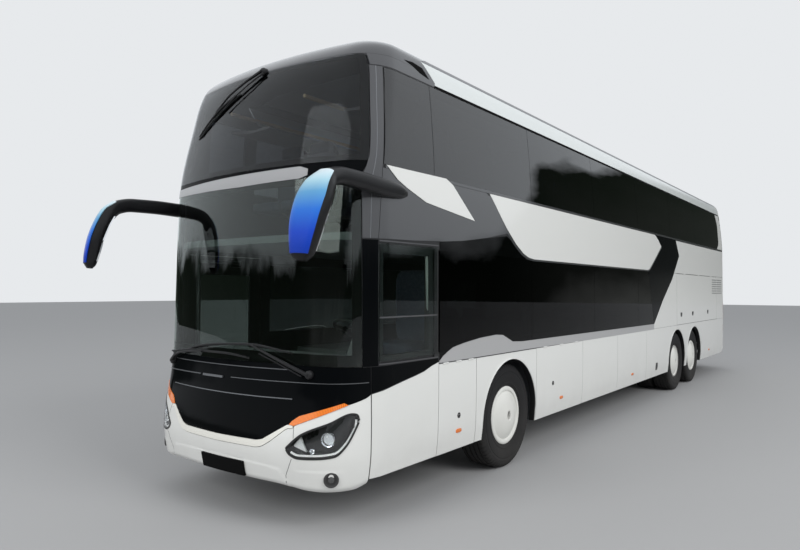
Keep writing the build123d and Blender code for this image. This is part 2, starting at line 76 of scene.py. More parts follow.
yaw, pitch, roll = np.radians(CAMERA_ANGLES)
lens = bpy.data.cameras.new("camera")
lens.lens = LENS_LENGTH
lens.clip_end = 400
camera = bpy.data.objects.new("camera", lens)
facing = (-np.sin(yaw) * np.cos(pitch), np.cos(yaw) * np.cos(pitch), np.sin(pitch))
camera.matrix_world = looking(CAMERA_AT, facing, roll)
bpy.context.scene.collection.objects.link(camera)
bpy.context.scene.camera = camera
bpy.context.scene.view_settings.view_transform = "Standard"


def node(tree, kind, *wires, **values):
    """A node with wires as (output, input); values in capitals are sockets, the others its settings."""
    made = tree.nodes.new(kind)
    for label, value in values.items():
        if label.islower():
            setattr(made, label, value)
        else:
            made.inputs[label.replace("_", " ")].default_value = value
    for source, label in wires:
        tree.links.new(source, made.inputs[label])
    return made


def ramp(tree, source, *stops):
    """The colour of a ramp driven by an output, with stops as (place, colour)."""
    made = node(tree, "ShaderNodeValToRGB", (source, "Fac"))
    elements = made.color_ramp.elements
    for place, colour in stops:
        stop = elements.new(place) if 0 < place < 1 else elements[-int(place)]
        stop.color = (*colour, 1)
    return made.outputs["Color"]


# What is glossy sees pale sky over a ragged dark band, lower towards the coach's sides.
sky = bpy.data.worlds.new("sky")
bpy.context.scene.world = sky
sky.use_nodes = True
tree = sky.node_tree
sky_ways = tree.nodes.new("ShaderNodeTexCoord").outputs["Generated"]
apart = node(tree, "ShaderNodeSeparateXYZ", (sky_ways, 0))
sideways = node(tree, "ShaderNodeMath", (apart.outputs["X"], 0), operation="ABSOLUTE")
open_sides = node(tree, "ShaderNodeMapRange", (sideways.outputs[0], "Value"), From_Min=0.38, From_Max=0.48,
                  To_Max=0.17)
raised_way = node(tree, "ShaderNodeMath", (open_sides.outputs[0], 0), (apart.outputs["Z"], 1))
ragged = node(tree, "ShaderNodeTexNoise", (sky_ways, "Vector"), Scale=14.0, Detail=6.0)
frayed = node(tree, "ShaderNodeMath", (ragged.outputs["Fac"], 0), (raised_way.outputs[0], 2),
              operation="MULTIPLY_ADD")
frayed.inputs[1].default_value = 0.12
bands = ramp(tree, frayed.outputs[0], (0, (0.34, 0.35, 0.34)), (0.1, (0.05, 0.055, 0.05)),
             (0.285, (0.02, 0.027, 0.02)), (0.32, (0.78, 0.82, 0.86)), (1, (0.93, 0.96, 1.0)))
light_sky = tree.nodes["Background"]
light_sky.inputs["Color"].default_value = (0.93, 0.96, 1.0, 1)
light_sky.inputs["Strength"].default_value = SKY_LIGHT
seen_sky = node(tree, "ShaderNodeBackground", Color=(0.8, 0.82, 0.84, 1))
glossy_sky = node(tree, "ShaderNodeBackground", (bands, "Color"))
ray = tree.nodes.new("ShaderNodeLightPath")
unseen = node(tree, "ShaderNodeMixShader", (ray.outputs["Is Glossy Ray"], "Fac"),
              (light_sky.outputs["Background"], 1), (glossy_sky.outputs["Background"], 2))
choice = node(tree, "ShaderNodeMixShader", (ray.outputs["Is Camera Ray"], "Fac"),
              (unseen.outputs["Shader"], 1), (seen_sky.outputs["Background"], 2))
tree.links.new(choice.outputs["Shader"], tree.nodes["World Output"].inputs["Surface"])

# Lamps as name, place, size and power.
for lamp_name, lamp_at, lamp_size, power in (
        ("key", (20, -5, 13), 12, 3000), ("fill", (-3, -24, 10), 12, 2000)):
    area = bpy.data.lights.new(lamp_name, "AREA")
    area.size = lamp_size
    area.energy = power
    lamp = bpy.data.objects.new(lamp_name, area)
    lamp.matrix_world = looking(lamp_at, -np.array(lamp_at))
    lamp.visible_glossy = False
    bpy.context.scene.collection.objects.link(lamp)


def new_group(name, inputs, outputs):
    """An empty shader node group with named sockets, inputs given as (kind, name, default)."""
    group = bpy.data.node_groups.new(name, "ShaderNodeTree")
    for kind, label, default in inputs:
        group.interface.new_socket(label, in_out="INPUT", socket_type=kind).default_value = default
    for kind, label in outputs:
        group.interface.new_socket(label, in_out="OUTPUT", socket_type=kind)
    return group, group.nodes.new("NodeGroupInput"), group.nodes.new("NodeGroupOutput")


def object_place(tree):
    """The piece's own coordinates, in metres."""
    return tree.nodes.new("ShaderNodeTexCoord").outputs["Object"]


FLOAT, COLOUR, VECTOR = "NodeSocketFloat", "NodeSocketColor", "NodeSocketVector"
dust, inner, outer = new_group(
    "road_dust", ((COLOUR, "Colour", (0.8, 0.8, 0.8, 1)), (COLOUR, "Dust", (0.27, 0.25, 0.22, 1)),
                  (FLOAT, "Amount", 0.35), (FLOAT, "Height", 1.1), (FLOAT, "Gloss", 0.25)),
    ((COLOUR, "Colour"), (FLOAT, "Roughness")))
place_of = object_place(dust)
apart = node(dust, "ShaderNodeSeparateXYZ", (place_of, 0))
cloud = node(dust, "ShaderNodeTexNoise", (place_of, "Vector"), Scale=3.5, Detail=6.0)
low_down = node(dust, "ShaderNodeMapRange", (apart.outputs["Z"], "Value"),
                (inner.outputs["Height"], "From Max"), From_Min=0.2, To_Min=1.0, To_Max=0.0)
patchy = node(dust, "ShaderNodeMath", (low_down.outputs[0], 0), (cloud.outputs["Fac"], 1),
              operation="MULTIPLY")
amount = node(dust, "ShaderNodeMath", (patchy.outputs[0], 0), (inner.outputs["Amount"], 1),
              operation="MULTIPLY")
tint = node(dust, "ShaderNodeMix", (amount.outputs[0], "Factor"), (inner.outputs["Colour"], 6),
            (inner.outputs["Dust"], 7), data_type="RGBA")
dull = node(dust, "ShaderNodeMapRange", (amount.outputs[0], "Value"), (inner.outputs["Gloss"], "To Min"),
            To_Max=0.8)
dust.links.new(tint.outputs[2], outer.inputs["Colour"])
dust.links.new(dull.outputs[0], outer.inputs["Roughness"])

grain, inner, outer = new_group(
    "fine_grain", ((FLOAT, "Scale", 60.0), (FLOAT, "Strength", 0.05)), ((VECTOR, "Normal"),))
speck = node(grain, "ShaderNodeTexNoise", (object_place(grain), "Vector"), (inner.outputs["Scale"], "Scale"),
             Detail=3.0)
bump = node(grain, "ShaderNodeBump", (speck.outputs["Fac"], "Height"),
            (inner.outputs["Strength"], "Strength"), Distance=0.001)
grain.links.new(bump.outputs["Normal"], outer.inputs["Normal"])


def new_material(name, **values):
    """A material whose shader has the given values, with its node tree and that shader."""
    made = bpy.data.materials.new(name)
    made.use_nodes = True
    shader = made.node_tree.nodes["Principled BSDF"]
    for label, value in values.items():
        shader.inputs[label.replace("_", " ")].default_value = value
    return made, made.node_tree, shader


def finish(name, colour, gloss, metal=0.0, coat=0.0, dusty=0.25, dust_top=1.1, scale=200.0, relief=0.05,
           shine=0.5, **values):
    """A finish with road dust low down and a fine grain; gloss is its clean roughness."""
    made, tree, shader = new_material(name, Metallic=metal, Coat_Weight=coat, Coat_Roughness=0.04,
                                      Specular_IOR_Level=shine, **values)
    dirt = node(tree, "ShaderNodeGroup", node_tree=dust, Colour=(*colour, 1), Amount=dusty, Height=dust_top,
                Gloss=gloss)
    fine = node(tree, "ShaderNodeGroup", node_tree=grain, Scale=scale, Strength=relief)
    for source, label in ((dirt.outputs["Colour"], "Base Color"), (dirt.outputs["Roughness"], "Roughness"),
                          (fine.outputs["Normal"], "Normal")):
        tree.links.new(source, shader.inputs[label])
    return made


def sheet_faces(index):
    """Four-sided faces between neighbouring rows and columns of a grid of point numbers."""
    return np.stack((index[:-1, :-1], index[1:, :-1], index[1:, 1:], index[:-1, 1:]), axis=-1).reshape(-1, 4)


def mesh_of(name, points, faces, crease=0.6):
    """A mesh from arrays, with doubles merged, shaded smoothly but for edges sharper than the crease."""
    points, faces = points.reshape(-1, 3), np.asarray(faces)
    kept, number = np.unique(np.round(points * 1e5).astype(int), axis=0, return_index=True,
                             return_inverse=True)[1:]
    faces = number.reshape(-1)[faces]
    repeats = (faces == np.roll(faces, 1, axis=1)).sum(axis=1)
    whole = faces[repeats == 0].tolist()
    corners = [list(dict.fromkeys(face)) for face in faces[repeats == 1].tolist()]
    mesh = bpy.data.meshes.new(name)
    mesh.from_pydata(points[kept].tolist(), [], whole + [face for face in corners if len(face) == 3])
    mesh.shade_smooth()
    mesh.set_sharp_from_angle(angle=crease)
    return bpy.data.objects.new(name, mesh)


def grid_mesh(name, points, crease=0.6, over=False):
    """A mesh of one grid of points or of a stack of grids; over turns its faces over."""
    index = np.arange(points.size // 3).reshape(-1, *points.shape[-3:-1])
    squares = index[:, :, ::-1] if over else index
    return mesh_of(name, points, np.concatenate([sheet_faces(square) for square in squares]), crease)


floor = mesh_of("floor", np.array(((-90.0, -90, 0), (90, -90, 0), (90, 90, 0), (-90, 90, 0))),
                np.array([[0, 1, 2, 3]]))
bpy.context.scene.collection.objects.link(floor)
floor.data.materials.append(finish("pale_floor", (0.38, 0.38, 0.38), 0.85, dusty=0.0, relief=0.1))


# The body's form, which every panel and pane follows: level outlines with a bowed nose, round
# front corners and straight sides. The levels are the CAD's own; between them the form runs
# smoothly, where the CAD has flat strips.
LEVELS = np.array((
    (0.3, 0.05, 1.235, 4.5, 0.65, 0.02),
    (0.6, 0.0, 1.268, 4.5, 0.65, 0.0),
    (1.05, 0.11, 1.275, 4.5, 0.65, 0.0),
    (1.3, 0.15, 1.275, 4.5, 0.65, 0.0),
    (2.75, 0.2, 1.272, 4.0, 0.65, 0.0),
    (2.85, 0.215, 1.27, 4.0, 0.65, 0.0),
    (3.4, 0.32, 1.235, 4.0, 0.78, 0.025),
    (3.77, 0.43, 1.19, 4.2, 0.86, 0.06),
    (3.86, 0.5, 1.165, 4.5, 0.9, 0.11),
    (3.93, 0.6, 1.1, 4.5, 0.96, 0.19),
    (3.985, 0.78, 0.9, 4.5, 1.05, 0.33),
    (4.0, 1.1, 0.6, 4.5, 1.26, 0.6)))
LENGTH = 14.0
REAR_CORNER = 0.3


def smooth(at, knots, values):
    """A curve through the knots with no overshoot.

    Each knot's slope is the weighted harmonic mean of the chords beside it, or level where
    they disagree in sign; cubic Hermite pieces join the knots.
    """
    knots, values = np.asarray(knots, float), np.asarray(values, float)
    gap = np.diff(knots)
    chord = np.diff(values) / gap
    near, far = 2 * gap[1:] + gap[:-1], gap[1:] + 2 * gap[:-1]
    same = chord[:-1] * chord[1:] > 0
    before, after = np.where(same, chord[:-1], 1), np.where(same, chord[1:], 1)
    slope = np.zeros(len(knots))
    slope[1:-1] = np.where(same, (near + far) / (near / before + far / after), 0)
    slope[0], slope[-1] = chord[0], chord[-1]
    k = np.clip(np.searchsorted(knots, at) - 1, 0, len(knots) - 2)
    t = np.clip((at - knots[k]) / gap[k], 0, 1)
    return (values[k] * (1 + 2 * t) * (1 - t) ** 2 + values[k + 1] * t * t * (3 - 2 * t)
            + gap[k] * (slope[k] * t * (1 - t) ** 2 - slope[k + 1] * t * t * (1 - t)))


def level_form(z):
    """Nose station, half width, bow, corner radius, its first angle, its end and the tail at height z."""
    z = np.asarray(z, float)
    nose, half, bow, end, back = (smooth(z, LEVELS[:, 0], LEVELS[:, i]) for i in range(1, 6))
    middle = nose + bow
    corner = (bow ** 2 - half ** 2 - (middle - end) ** 2) / (2 * (bow - half))
    return nose, half, bow, corner, np.arctan2(half - corner, middle - end), end, LENGTH - back


def front_place(s, z, proud=0.0):
    """A point s metres along the outline from the middle of the nose, at height z.

    The way runs along the bow's arc, round the corner's arc and back along the straight side.
    """
    nose, half, bow, corner, first, end, tail = level_form(z)
    way = np.abs(s)
    angle = np.where(way <= bow * first, way / bow,
                     np.minimum(first + (way - bow * first) / corner, np.pi / 2))
    extra = np.maximum(way - bow * first - corner * (np.pi / 2 - first), 0)
    x = np.where(way <= bow * first, bow * np.sin(angle), half - corner + corner * np.sin(angle))
    y = np.where(way <= bow * first, nose + bow - bow * np.cos(angle), end - corner * np.cos(angle) + extra)
    return np.stack((np.sign(s) * (x + proud * np.sin(angle)), y - proud * np.cos(angle) + SHIFT, z + 0 * x),
                    axis=-1)


def front_reach(station, z):
    """How far along the outline the front reaches a station beside the corner, at height z."""
    nose, half, bow, corner, first, end, tail = level_form(z)
    angle = np.arccos(np.clip((end - station) / corner, 0, 1))
    return bow * first + corner * (angle - first) + np.maximum(station - end, 0)


def side_place(station, z, proud=0.0):
    """A point on the left side at a station and a height."""
    return front_place(front_reach(station, z), z, proud)


def tail_place(s, z, proud=0.0):
    """A point on the rear, s metres along its outline from the middle, at height z."""
    nose, half, bow, corner, first, end, tail = level_form(z)
    way, flat = np.abs(s), half - REAR_CORNER
    angle = np.clip((way - flat) / REAR_CORNER, 0, np.pi / 2)
    extra = np.maximum(way - flat - REAR_CORNER * np.pi / 2, 0)
    x = np.minimum(way, flat) + (REAR_CORNER + proud) * np.sin(angle)
    y = tail - REAR_CORNER - extra + (REAR_CORNER + proud) * np.cos(angle)
    return np.stack((np.sign(s) * x, y + SHIFT, z + 0 * x), axis=-1)


def dress(piece, material, body="coach", *stands_for):
    """Link a piece, give it its finish, hang it on a body and let it stand for CAD nodes."""
    bpy.context.scene.collection.objects.link(piece)
    piece.data.materials.append(material)
    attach(piece, body)
    if stands_for:
        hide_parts(*stands_for)
    return piece


def between(first, second, step, rows):
    """Ways and heights of a grid between two borders whose matching knots are joined by straight lines."""
    first, second = np.asarray(first, float), np.asarray(second, float)
    length = np.maximum(np.hypot(*np.diff(first, axis=0).T), np.hypot(*np.diff(second, axis=0).T))
    counts = np.maximum(np.ceil(length / step - 1e-6).astype(int), 1)
    share = np.concatenate([k + np.arange(c) / c for k, c in enumerate(counts)] + [[len(first) - 1]])
    a, b = (np.stack([np.interp(share, np.arange(len(e)), e[:, i]) for i in (0, 1)], -1)
            for e in (first, second))
    t = np.linspace(0, 1, rows + 1)[None, :, None]
    return np.moveaxis(a[:, None] * (1 - t) + b[:, None] * t, -1, 0)


def plate(name, outsides, insides, crease=0.6):
    """A closed plate from matching outer and inner grids, welded where they touch.

    Every border edge of the welded outer sheet gets a rim face down to the inner sheet.
    """
    faces, start = [], 0
    for out, back in zip(outsides, insides):
        n, m = out.shape[:2]
        index = np.arange(n * m).reshape(n, m) + start
        start += n * m
        across = np.cross(out[n - 1, m // 2] - out[0, m // 2], out[n // 2, m - 1] - out[n // 2, 0])
        faces.append(sheet_faces(index if across @ (out - back).mean(axis=(0, 1)) > 0 else index[::-1]))
    out = np.concatenate([g.reshape(-1, 3) for g in outsides])
    back = np.concatenate([g.reshape(-1, 3) for g in insides])
    kept, number = np.unique(np.round(out * 1e5).astype(int), axis=0, return_index=True,
                             return_inverse=True)[1:]
    faces = number.reshape(-1)[np.concatenate(faces)]
    total = len(kept)
    start_point, end_point = faces, np.roll(faces, -1, axis=1)
    one_way, other_way = start_point * total + end_point, end_point * total + start_point
    rim = ~np.isin(one_way, other_way) & (start_point != end_point)
    a, b = start_point[rim], end_point[rim]
    rims = np.stack((b, a, a + total, b + total), axis=-1)
    return mesh_of(name, np.concatenate((out[kept], back[kept])),
                   np.concatenate((faces, faces[:, ::-1] + total, rims)), crease)


def panel(name, patches, place, material, body="coach", *stands_for, proud=0.002, thick=0.006, step=0.08,
          rows=8, flip=False):
    """A body panel of even thickness made of patches between pairs of borders."""
    turn = np.array((-1, 1, 1)) if flip else 1
    grids = [between(first, second, step, rows) for first, second in patches]
    outsides = [place(*grid, proud) * turn for grid in grids]
    insides = [place(*grid, proud - thick) * turn for grid in grids]
    return dress(plate(name, outsides, insides), material, body, *stands_for)


def pairs(ways, heights):
    """Points as (way, height), either of which may be one number for all."""
    return np.stack(np.broadcast_arrays(ways, heights), -1)


def strip(ways, low, high):
    """Two borders over the same ways, at a low and a high height."""
    return pairs(ways, low), pairs(ways, high)


def ribbon(points, width):
    """Two borders on either side of a line of (way, height) points."""
    points = np.asarray(points, float)
    way = np.gradient(points, axis=0)
    way /= np.linalg.norm(way, axis=1)[:, None]
    aside = pairs(-way[:, 1], way[:, 0]) * width / 2
    return points - aside, points + aside


# The front bumper: white moulded skins between the road and the V-shaped foot of the black mask,
# with a raised centre skirt, a plate recess, round fog lamps and openings for the headlamps.
SIDES = ((1, "left"), (-1, "right"))
BUMPER_END = 0.486
LAMP_TIP, LAMP_END, LAMP_OUT = 0.75, 1.315, 0.85
white_paint = finish("white_paint", (0.7, 0.705, 0.68), 0.28, coat=0.5, dusty=0.3, relief=0.02)
dark_trim = finish("dark_trim", (0.025, 0.025, 0.027), 0.5, dusty=0.15, relief=0.2)
black_plastic = finish("black_plastic", (0.012, 0.012, 0.013), 0.35, dusty=0.1, relief=0.15)


def mask_foot(s):
    """Height of the white border under the mask: level in the middle, up the V and under the ambers."""
    return np.interp(np.abs(s), (0, 0.46, 0.52, 0.74, 0.8, 1.2, 1.42, 1.6),
                     (0.662, 0.668, 0.682, 0.812, 0.805, 0.968, 1.035, 1.09))


def lamp_low(s):
    """Height of the headlamp opening's lower edge."""
    return smooth(np.abs(s), (0.75, 0.79, 0.87, 1.0, 1.15, 1.24, 1.28, 1.315),
                  (0.64, 0.59, 0.565, 0.568, 0.585, 0.665, 0.745, 0.85))


def lamp_high(s):
    """Height of the headlamp opening's upper edge."""
    return smooth(np.abs(s), (0.75, 0.88, 1.09, 1.24, 1.285, 1.315), (0.64, 0.756, 0.846, 0.912, 0.905, 0.85))


def bumper_foot(s):
    """Lower edge of the bumper, lowest under the lamps."""
    return smooth(np.abs(s), (0, 0.6, 1.05, 1.25, 1.45, 2.0), (0.35, 0.345, 0.312, 0.318, 0.355, 0.385))


def nose_place(s, z, proud=0.0):
    """The nose with its ends drawn round to one station, so that the seam behind them stands upright."""
    end_way = front_reach(BUMPER_END, 0.7)
    pull = np.clip((np.abs(s) - 1.25) / (end_way - 1.25), 0, 1) ** 2
    return front_place(s + np.sign(s) * pull * (front_reach(BUMPER_END, z) - end_way), z, proud)


def bumper_place(s, z, proud=0.0):
    """The nose with the bumper's relief: a raised centre skirt, a step each side, a rolled lower edge."""
    way = np.abs(s)
    skirt_top = np.interp(way, (0, 0.55, 0.68, 0.76), (0.5, 0.488, 0.47, 0.36))
    rise = np.clip((skirt_top - z) / 0.009, 0, 1) * (way < 0.76)
    roll_in = np.clip((bumper_foot(s) + 0.04 - z) / 0.04, 0, 1) ** 2
    fade = np.clip((way - 0.8) * 12, 0, 1) * np.clip((1.24 - way) * 12, 0, 1)
    ledge = np.clip((0.482 - z) / 0.012, 0, 1) * fade
    return nose_place(s, z, proud + 0.006 * rise * rise * (3 - 2 * rise) + 0.004 * ledge - 0.022 * roll_in)


def trim_width(s):
    """Width of the cream trim, which narrows up the V."""
    return np.interp(np.abs(s), (0.6, 0.795), (0.053, 0.018))


edge = float(front_reach(BUMPER_END, 0.7))
half_ways = np.concatenate((np.linspace(0, 0.6, 25), np.linspace(0.62, LAMP_TIP, 8), (0.77,),
                            np.linspace(0.79, LAMP_END, 34), np.linspace(1.34, edge, 5)))
ways = np.concatenate((-half_ways[:0:-1], half_ways))
aside = np.abs(ways)
in_lamp = (aside > LAMP_TIP) & (aside < LAMP_END)
parting = np.interp(aside, (0, 0.6, LAMP_TIP, LAMP_END), (0.56, 0.56, 0.64, LAMP_OUT))
upper_edge = mask_foot(ways) - np.where(aside < 0.8, trim_width(ways) + 0.005, 0)
panel("bumper", [strip(ways, bumper_foot(ways), np.where(in_lamp, lamp_low(ways), parting)),
                 strip(ways, np.where(in_lamp, lamp_high(ways), parting), upper_edge)],
      bumper_place, white_paint, "coach", "bumper_front", proud=0, thick=0.03, step=1, rows=26)
trim_ways = ways[aside < 0.795]
trim_high = mask_foot(trim_ways)
cream_trim = finish("cream_trim", (0.76, 0.75, 0.69), 0.25, coat=0.4, relief=0.02)
panel("bumper_trim", [strip(trim_ways, trim_high - trim_width(trim_ways), trim_high - 0.001)], front_place,
      cream_trim, proud=0.004, step=1, rows=4, thick=0.02)
LEFT_SEAMS = (((0.81, 0.562), (0.775, 0.49), (0.74, 0.425), (0.735, 0.345)), ((0.8, 0.8), (0.815, 0.715)))
seam_lines = [[(k * s, z) for s, z in line] for line in LEFT_SEAMS for k in (1, -1)]
panel("bumper_seams", [ribbon(line, 0.004) for line in seam_lines], bumper_place, dark_trim, proud=0.0006,
      step=0.03, rows=2)
panel("backing_front", [strip(np.linspace(-edge, edge, 60), 0.4, 1.24)], front_place, dark_trim, proud=-0.075,
      thick=0.01, step=1, rows=12)
panel("number_plate", [strip((-0.2, 0.0, 0.32), 0.362, 0.482)], front_place,
      finish("blank_plate", (0.004, 0.004, 0.004), 0.8, dusty=0.0, relief=0.3, shine=0.08), proud=0.024,
      thick=0.02, rows=4)


def turned(name, profile, at, towards, material, body="coach", turns=48):
    """A profile of (radius, height) points turned about an axis from a point towards a way."""
    profile = np.asarray(profile, float)
    way = np.array(towards, float) / np.linalg.norm(towards)
    side_way = np.cross(way, (0, 0, 1) if abs(way[2]) < 0.9 else (1, 0, 0))
    side_way /= np.linalg.norm(side_way)
    up_way = np.cross(way, side_way)
    angle = np.linspace(0, 2 * np.pi, turns + 1)[None, :, None]
    r, h = profile[:, 0][:, None, None], profile[:, 1][:, None, None]
    points = np.array(at) + h * way + r * (np.cos(angle) * side_way + np.sin(angle) * up_way)
    return dress(grid_mesh(name, points, 0.5, over=True), material, body)


def place_and_way(place, s, z):
    """A point on the body and the way its surface faces there."""
    at, out = (place(np.array(s, float), np.array(z, float), proud) for proud in (0.0, 1.0))
    return at, out - at


fog_glass = finish("fog_glass", (0.1, 0.1, 0.1), 0.25, metal=0.5, dusty=0.0, relief=0.05)
for k, label in SIDES:
    at, way = place_and_way(bumper_place, k * 1.11, 0.415)
    at = at + 0.005 * way
    turned(f"fog_lamp_ring_{label}", [(0.058, -0.02), (0.058, 0.002), (0.052, 0.006), (0.043, 0.003),
                                      (0.043, -0.02), (0.058, -0.02)], at, way, dark_trim)
    turned(f"fog_lamp_bowl_{label}", [(0, -0.003), (0.03, -0.002), (0.043, 0.002), (0.045, -0.019),
                                      (0, -0.02)], at, way, black_plastic)
    turned(f"fog_lamp_dome_{label}", [(0, -0.004), (0.026, -0.004), (0.024, 0.001), (0.014, 0.004),
                                      (0, 0.005)], at, way, fog_glass, turns=24)


# The black mask between the bumper and the windscreen: one gloss moulding with fine satin ribs
# and a grip, left bare where the badge would be.
black_gloss = finish("black_gloss", (0.0025, 0.003, 0.0035), 0.1, dusty=0.02, relief=0.01, IOR=1.12)
satin_metal = finish("satin_metal", (0.22, 0.225, 0.235), 0.3, metal=0.9, dusty=0.0, relief=0.03)
AMBER_TOP = ((0.755, 0.775, 0.83, 1.17, 1.205), (0.815, 0.84, 0.88, 0.988, 0.972))


def mask_place(s, z, proud=0.0):
    """The nose, 4 mm proud where the mask runs over the wall's end."""
    return nose_place(s, z, proud + 0.004 * np.clip((np.abs(s) - 1.28) / 0.08, 0, 1))


kinks = (-1.2, -1.17, -0.83, -0.76, 0.76, 0.83, 1.17, 1.2)
mask_ways = np.unique(np.concatenate((np.linspace(-edge, edge, 80), kinks)))
over_amber = np.interp(np.abs(mask_ways), *AMBER_TOP, left=0, right=0)
panel("mask", [strip(mask_ways, np.maximum(mask_foot(mask_ways) + 0.002, over_amber + 0.003), 1.252)],
      mask_place, black_gloss, "coach", "mask_front", proud=0, thick=0.02, step=1, rows=20)
# Ribs as name, line, width and height above the mask.
for rib_name, rib_line, rib_width, lift in (
        ("low", [(-0.86, 0.986), (-0.4, 0.984), (0.0, 0.985), (0.4, 0.99), (0.73, 0.997)], 0.007, 0.004),
        ("middle", [(0.02, 1.112), (0.45, 1.118), (0.88, 1.126), (1.15, 1.131), (1.38, 1.136)], 0.005, 0.003),
        ("far", [(-1.06, 1.1), (-0.7, 1.104), (-0.42, 1.107)], 0.008, 0.004),
        ("grip", [(-0.37, 1.106), (-0.22, 1.108), (-0.08, 1.108)], 0.018, 0.012),
        ("high", [(-0.92, 1.203), (-0.34, 1.206), (0.2, 1.21), (0.64, 1.216)], 0.006, 0.004)):
    panel(f"mask_rib_{rib_name}", [ribbon(rib_line, rib_width)], mask_place, satin_metal, proud=lift,
          thick=lift + 0.004, step=0.05, rows=2)


# The amber side strips where the white bumper meets the mask: moulded lenses with fine ribs inside.
def lens_material(name, colour, scale):
    """A coloured lens with moulded ribs under a clear coat."""
    made, tree, shader = new_material(name, Roughness=0.18, Coat_Weight=1.0)
    wave = node(tree, "ShaderNodeTexWave", (object_place(tree), "Vector"), Scale=scale, Distortion=0.5)
    colour = np.array(colour)
    tones = ramp(tree, wave.outputs["Fac"], (0, 0.75 * colour), (1, np.minimum(1.15 * colour, 1)))
    raised = node(tree, "ShaderNodeBump", (wave.outputs["Fac"], "Height"), Strength=0.3, Distance=0.002)
    tree.links.new(tones, shader.inputs["Base Color"])
    tree.links.new(raised.outputs["Normal"], shader.inputs["Normal"])
    return made


amber_lens = lens_material("amber_lens", (0.83, 0.2, 0.02), 30)
amber_ways = np.array((0.757, 0.775, 0.8, 0.83, 1.0, 1.17, 1.203))
amber_high = np.interp(amber_ways, *AMBER_TOP)
for k, label in SIDES:
    panel(f"amber_strip_{label}", [strip(amber_ways, mask_foot(amber_ways) + 0.002, amber_high)],
          front_place, amber_lens, "coach", *(["lamps_amber"] if k > 0 else []), proud=0.006, thick=0.03,
          step=0.03, rows=4, flip=k < 0)


# The headlamps: a clear cover over a black bowl that holds a projector lens in a chrome ring, a
# bright three-cornered reflector, a ribbed insert and a light strip along the bottom and outer edge.
def clear_material(name, tint, ior=1.45):
    """Clear or tinted glass; the tint is what white light becomes through the whole pane."""
    made, tree, shader = new_material(name, Transmission_Weight=1.0, IOR=ior, Roughness=0.0,
                                      Base_Color=(*tint, 1))
    wave = node(tree, "ShaderNodeTexNoise", (object_place(tree), "Vector"), Scale=1.3, Detail=1.0)
    bent = node(tree, "ShaderNodeBump", (wave.outputs["Fac"], "Height"), Strength=0.02, Distance=0.004)
    tree.links.new(bent.outputs["Normal"], shader.inputs["Normal"])
    return made


chrome = finish("chrome", (0.75, 0.76, 0.78), 0.08, metal=1.0, dusty=0.0, relief=0.01)
lamp_glass = clear_material("lamp_glass", (0.95, 0.97, 0.98))
strip_glow = finish("light_strip", (0.92, 0.92, 0.9), 0.3, coat=1.0, dusty=0.0, relief=0.02,
                    Emission_Color=(1.0, 0.99, 0.95, 1), Emission_Strength=0.25)
reflector = finish("reflector", (0.9, 0.9, 0.87), 0.2, coat=1.0, dusty=0.0, scale=500, relief=0.3)
tip_turn, end_turn = np.linspace(0, np.pi / 2, 6), np.linspace(0.2, np.pi / 2, 6)
lamp_ways = np.concatenate((LAMP_TIP + 0.03 * (1 - np.cos(tip_turn)), np.linspace(0.79, 1.28, 32),
                            LAMP_END - 0.03 * (1 - np.sin(end_turn))))


def bowl_place(s, z, proud=0.0):
    """The lamp's bowl: its floor sinks 65 mm behind the nose within 30 mm of the outline."""
    way = np.clip(np.abs(s), LAMP_TIP, LAMP_END)
    room = np.minimum(np.minimum(z - lamp_low(way), lamp_high(way) - z),
                      np.minimum(way - LAMP_TIP, LAMP_END - way) * 1.5)
    return front_place(s, z, proud - 0.065 * np.clip(room / 0.03, 0, 1) ** 0.7)


def reflector_place(s, z, proud=0.0):
    """The nose, sunk 30 mm at the lamp's tip and rising outward."""
    return front_place(s, z, proud - 0.03 + 0.12 * (np.abs(s) - 0.81))


def fin(a):
    """Borders of one upright fin of the insert, 20 mm wide from way a on."""
    low, high = 0.7 + 0.55 * (a - 0.9), 0.745 + 0.45 * (a - 0.9)
    return pairs((a, a + 0.02), low), pairs((a, a + 0.02), high)


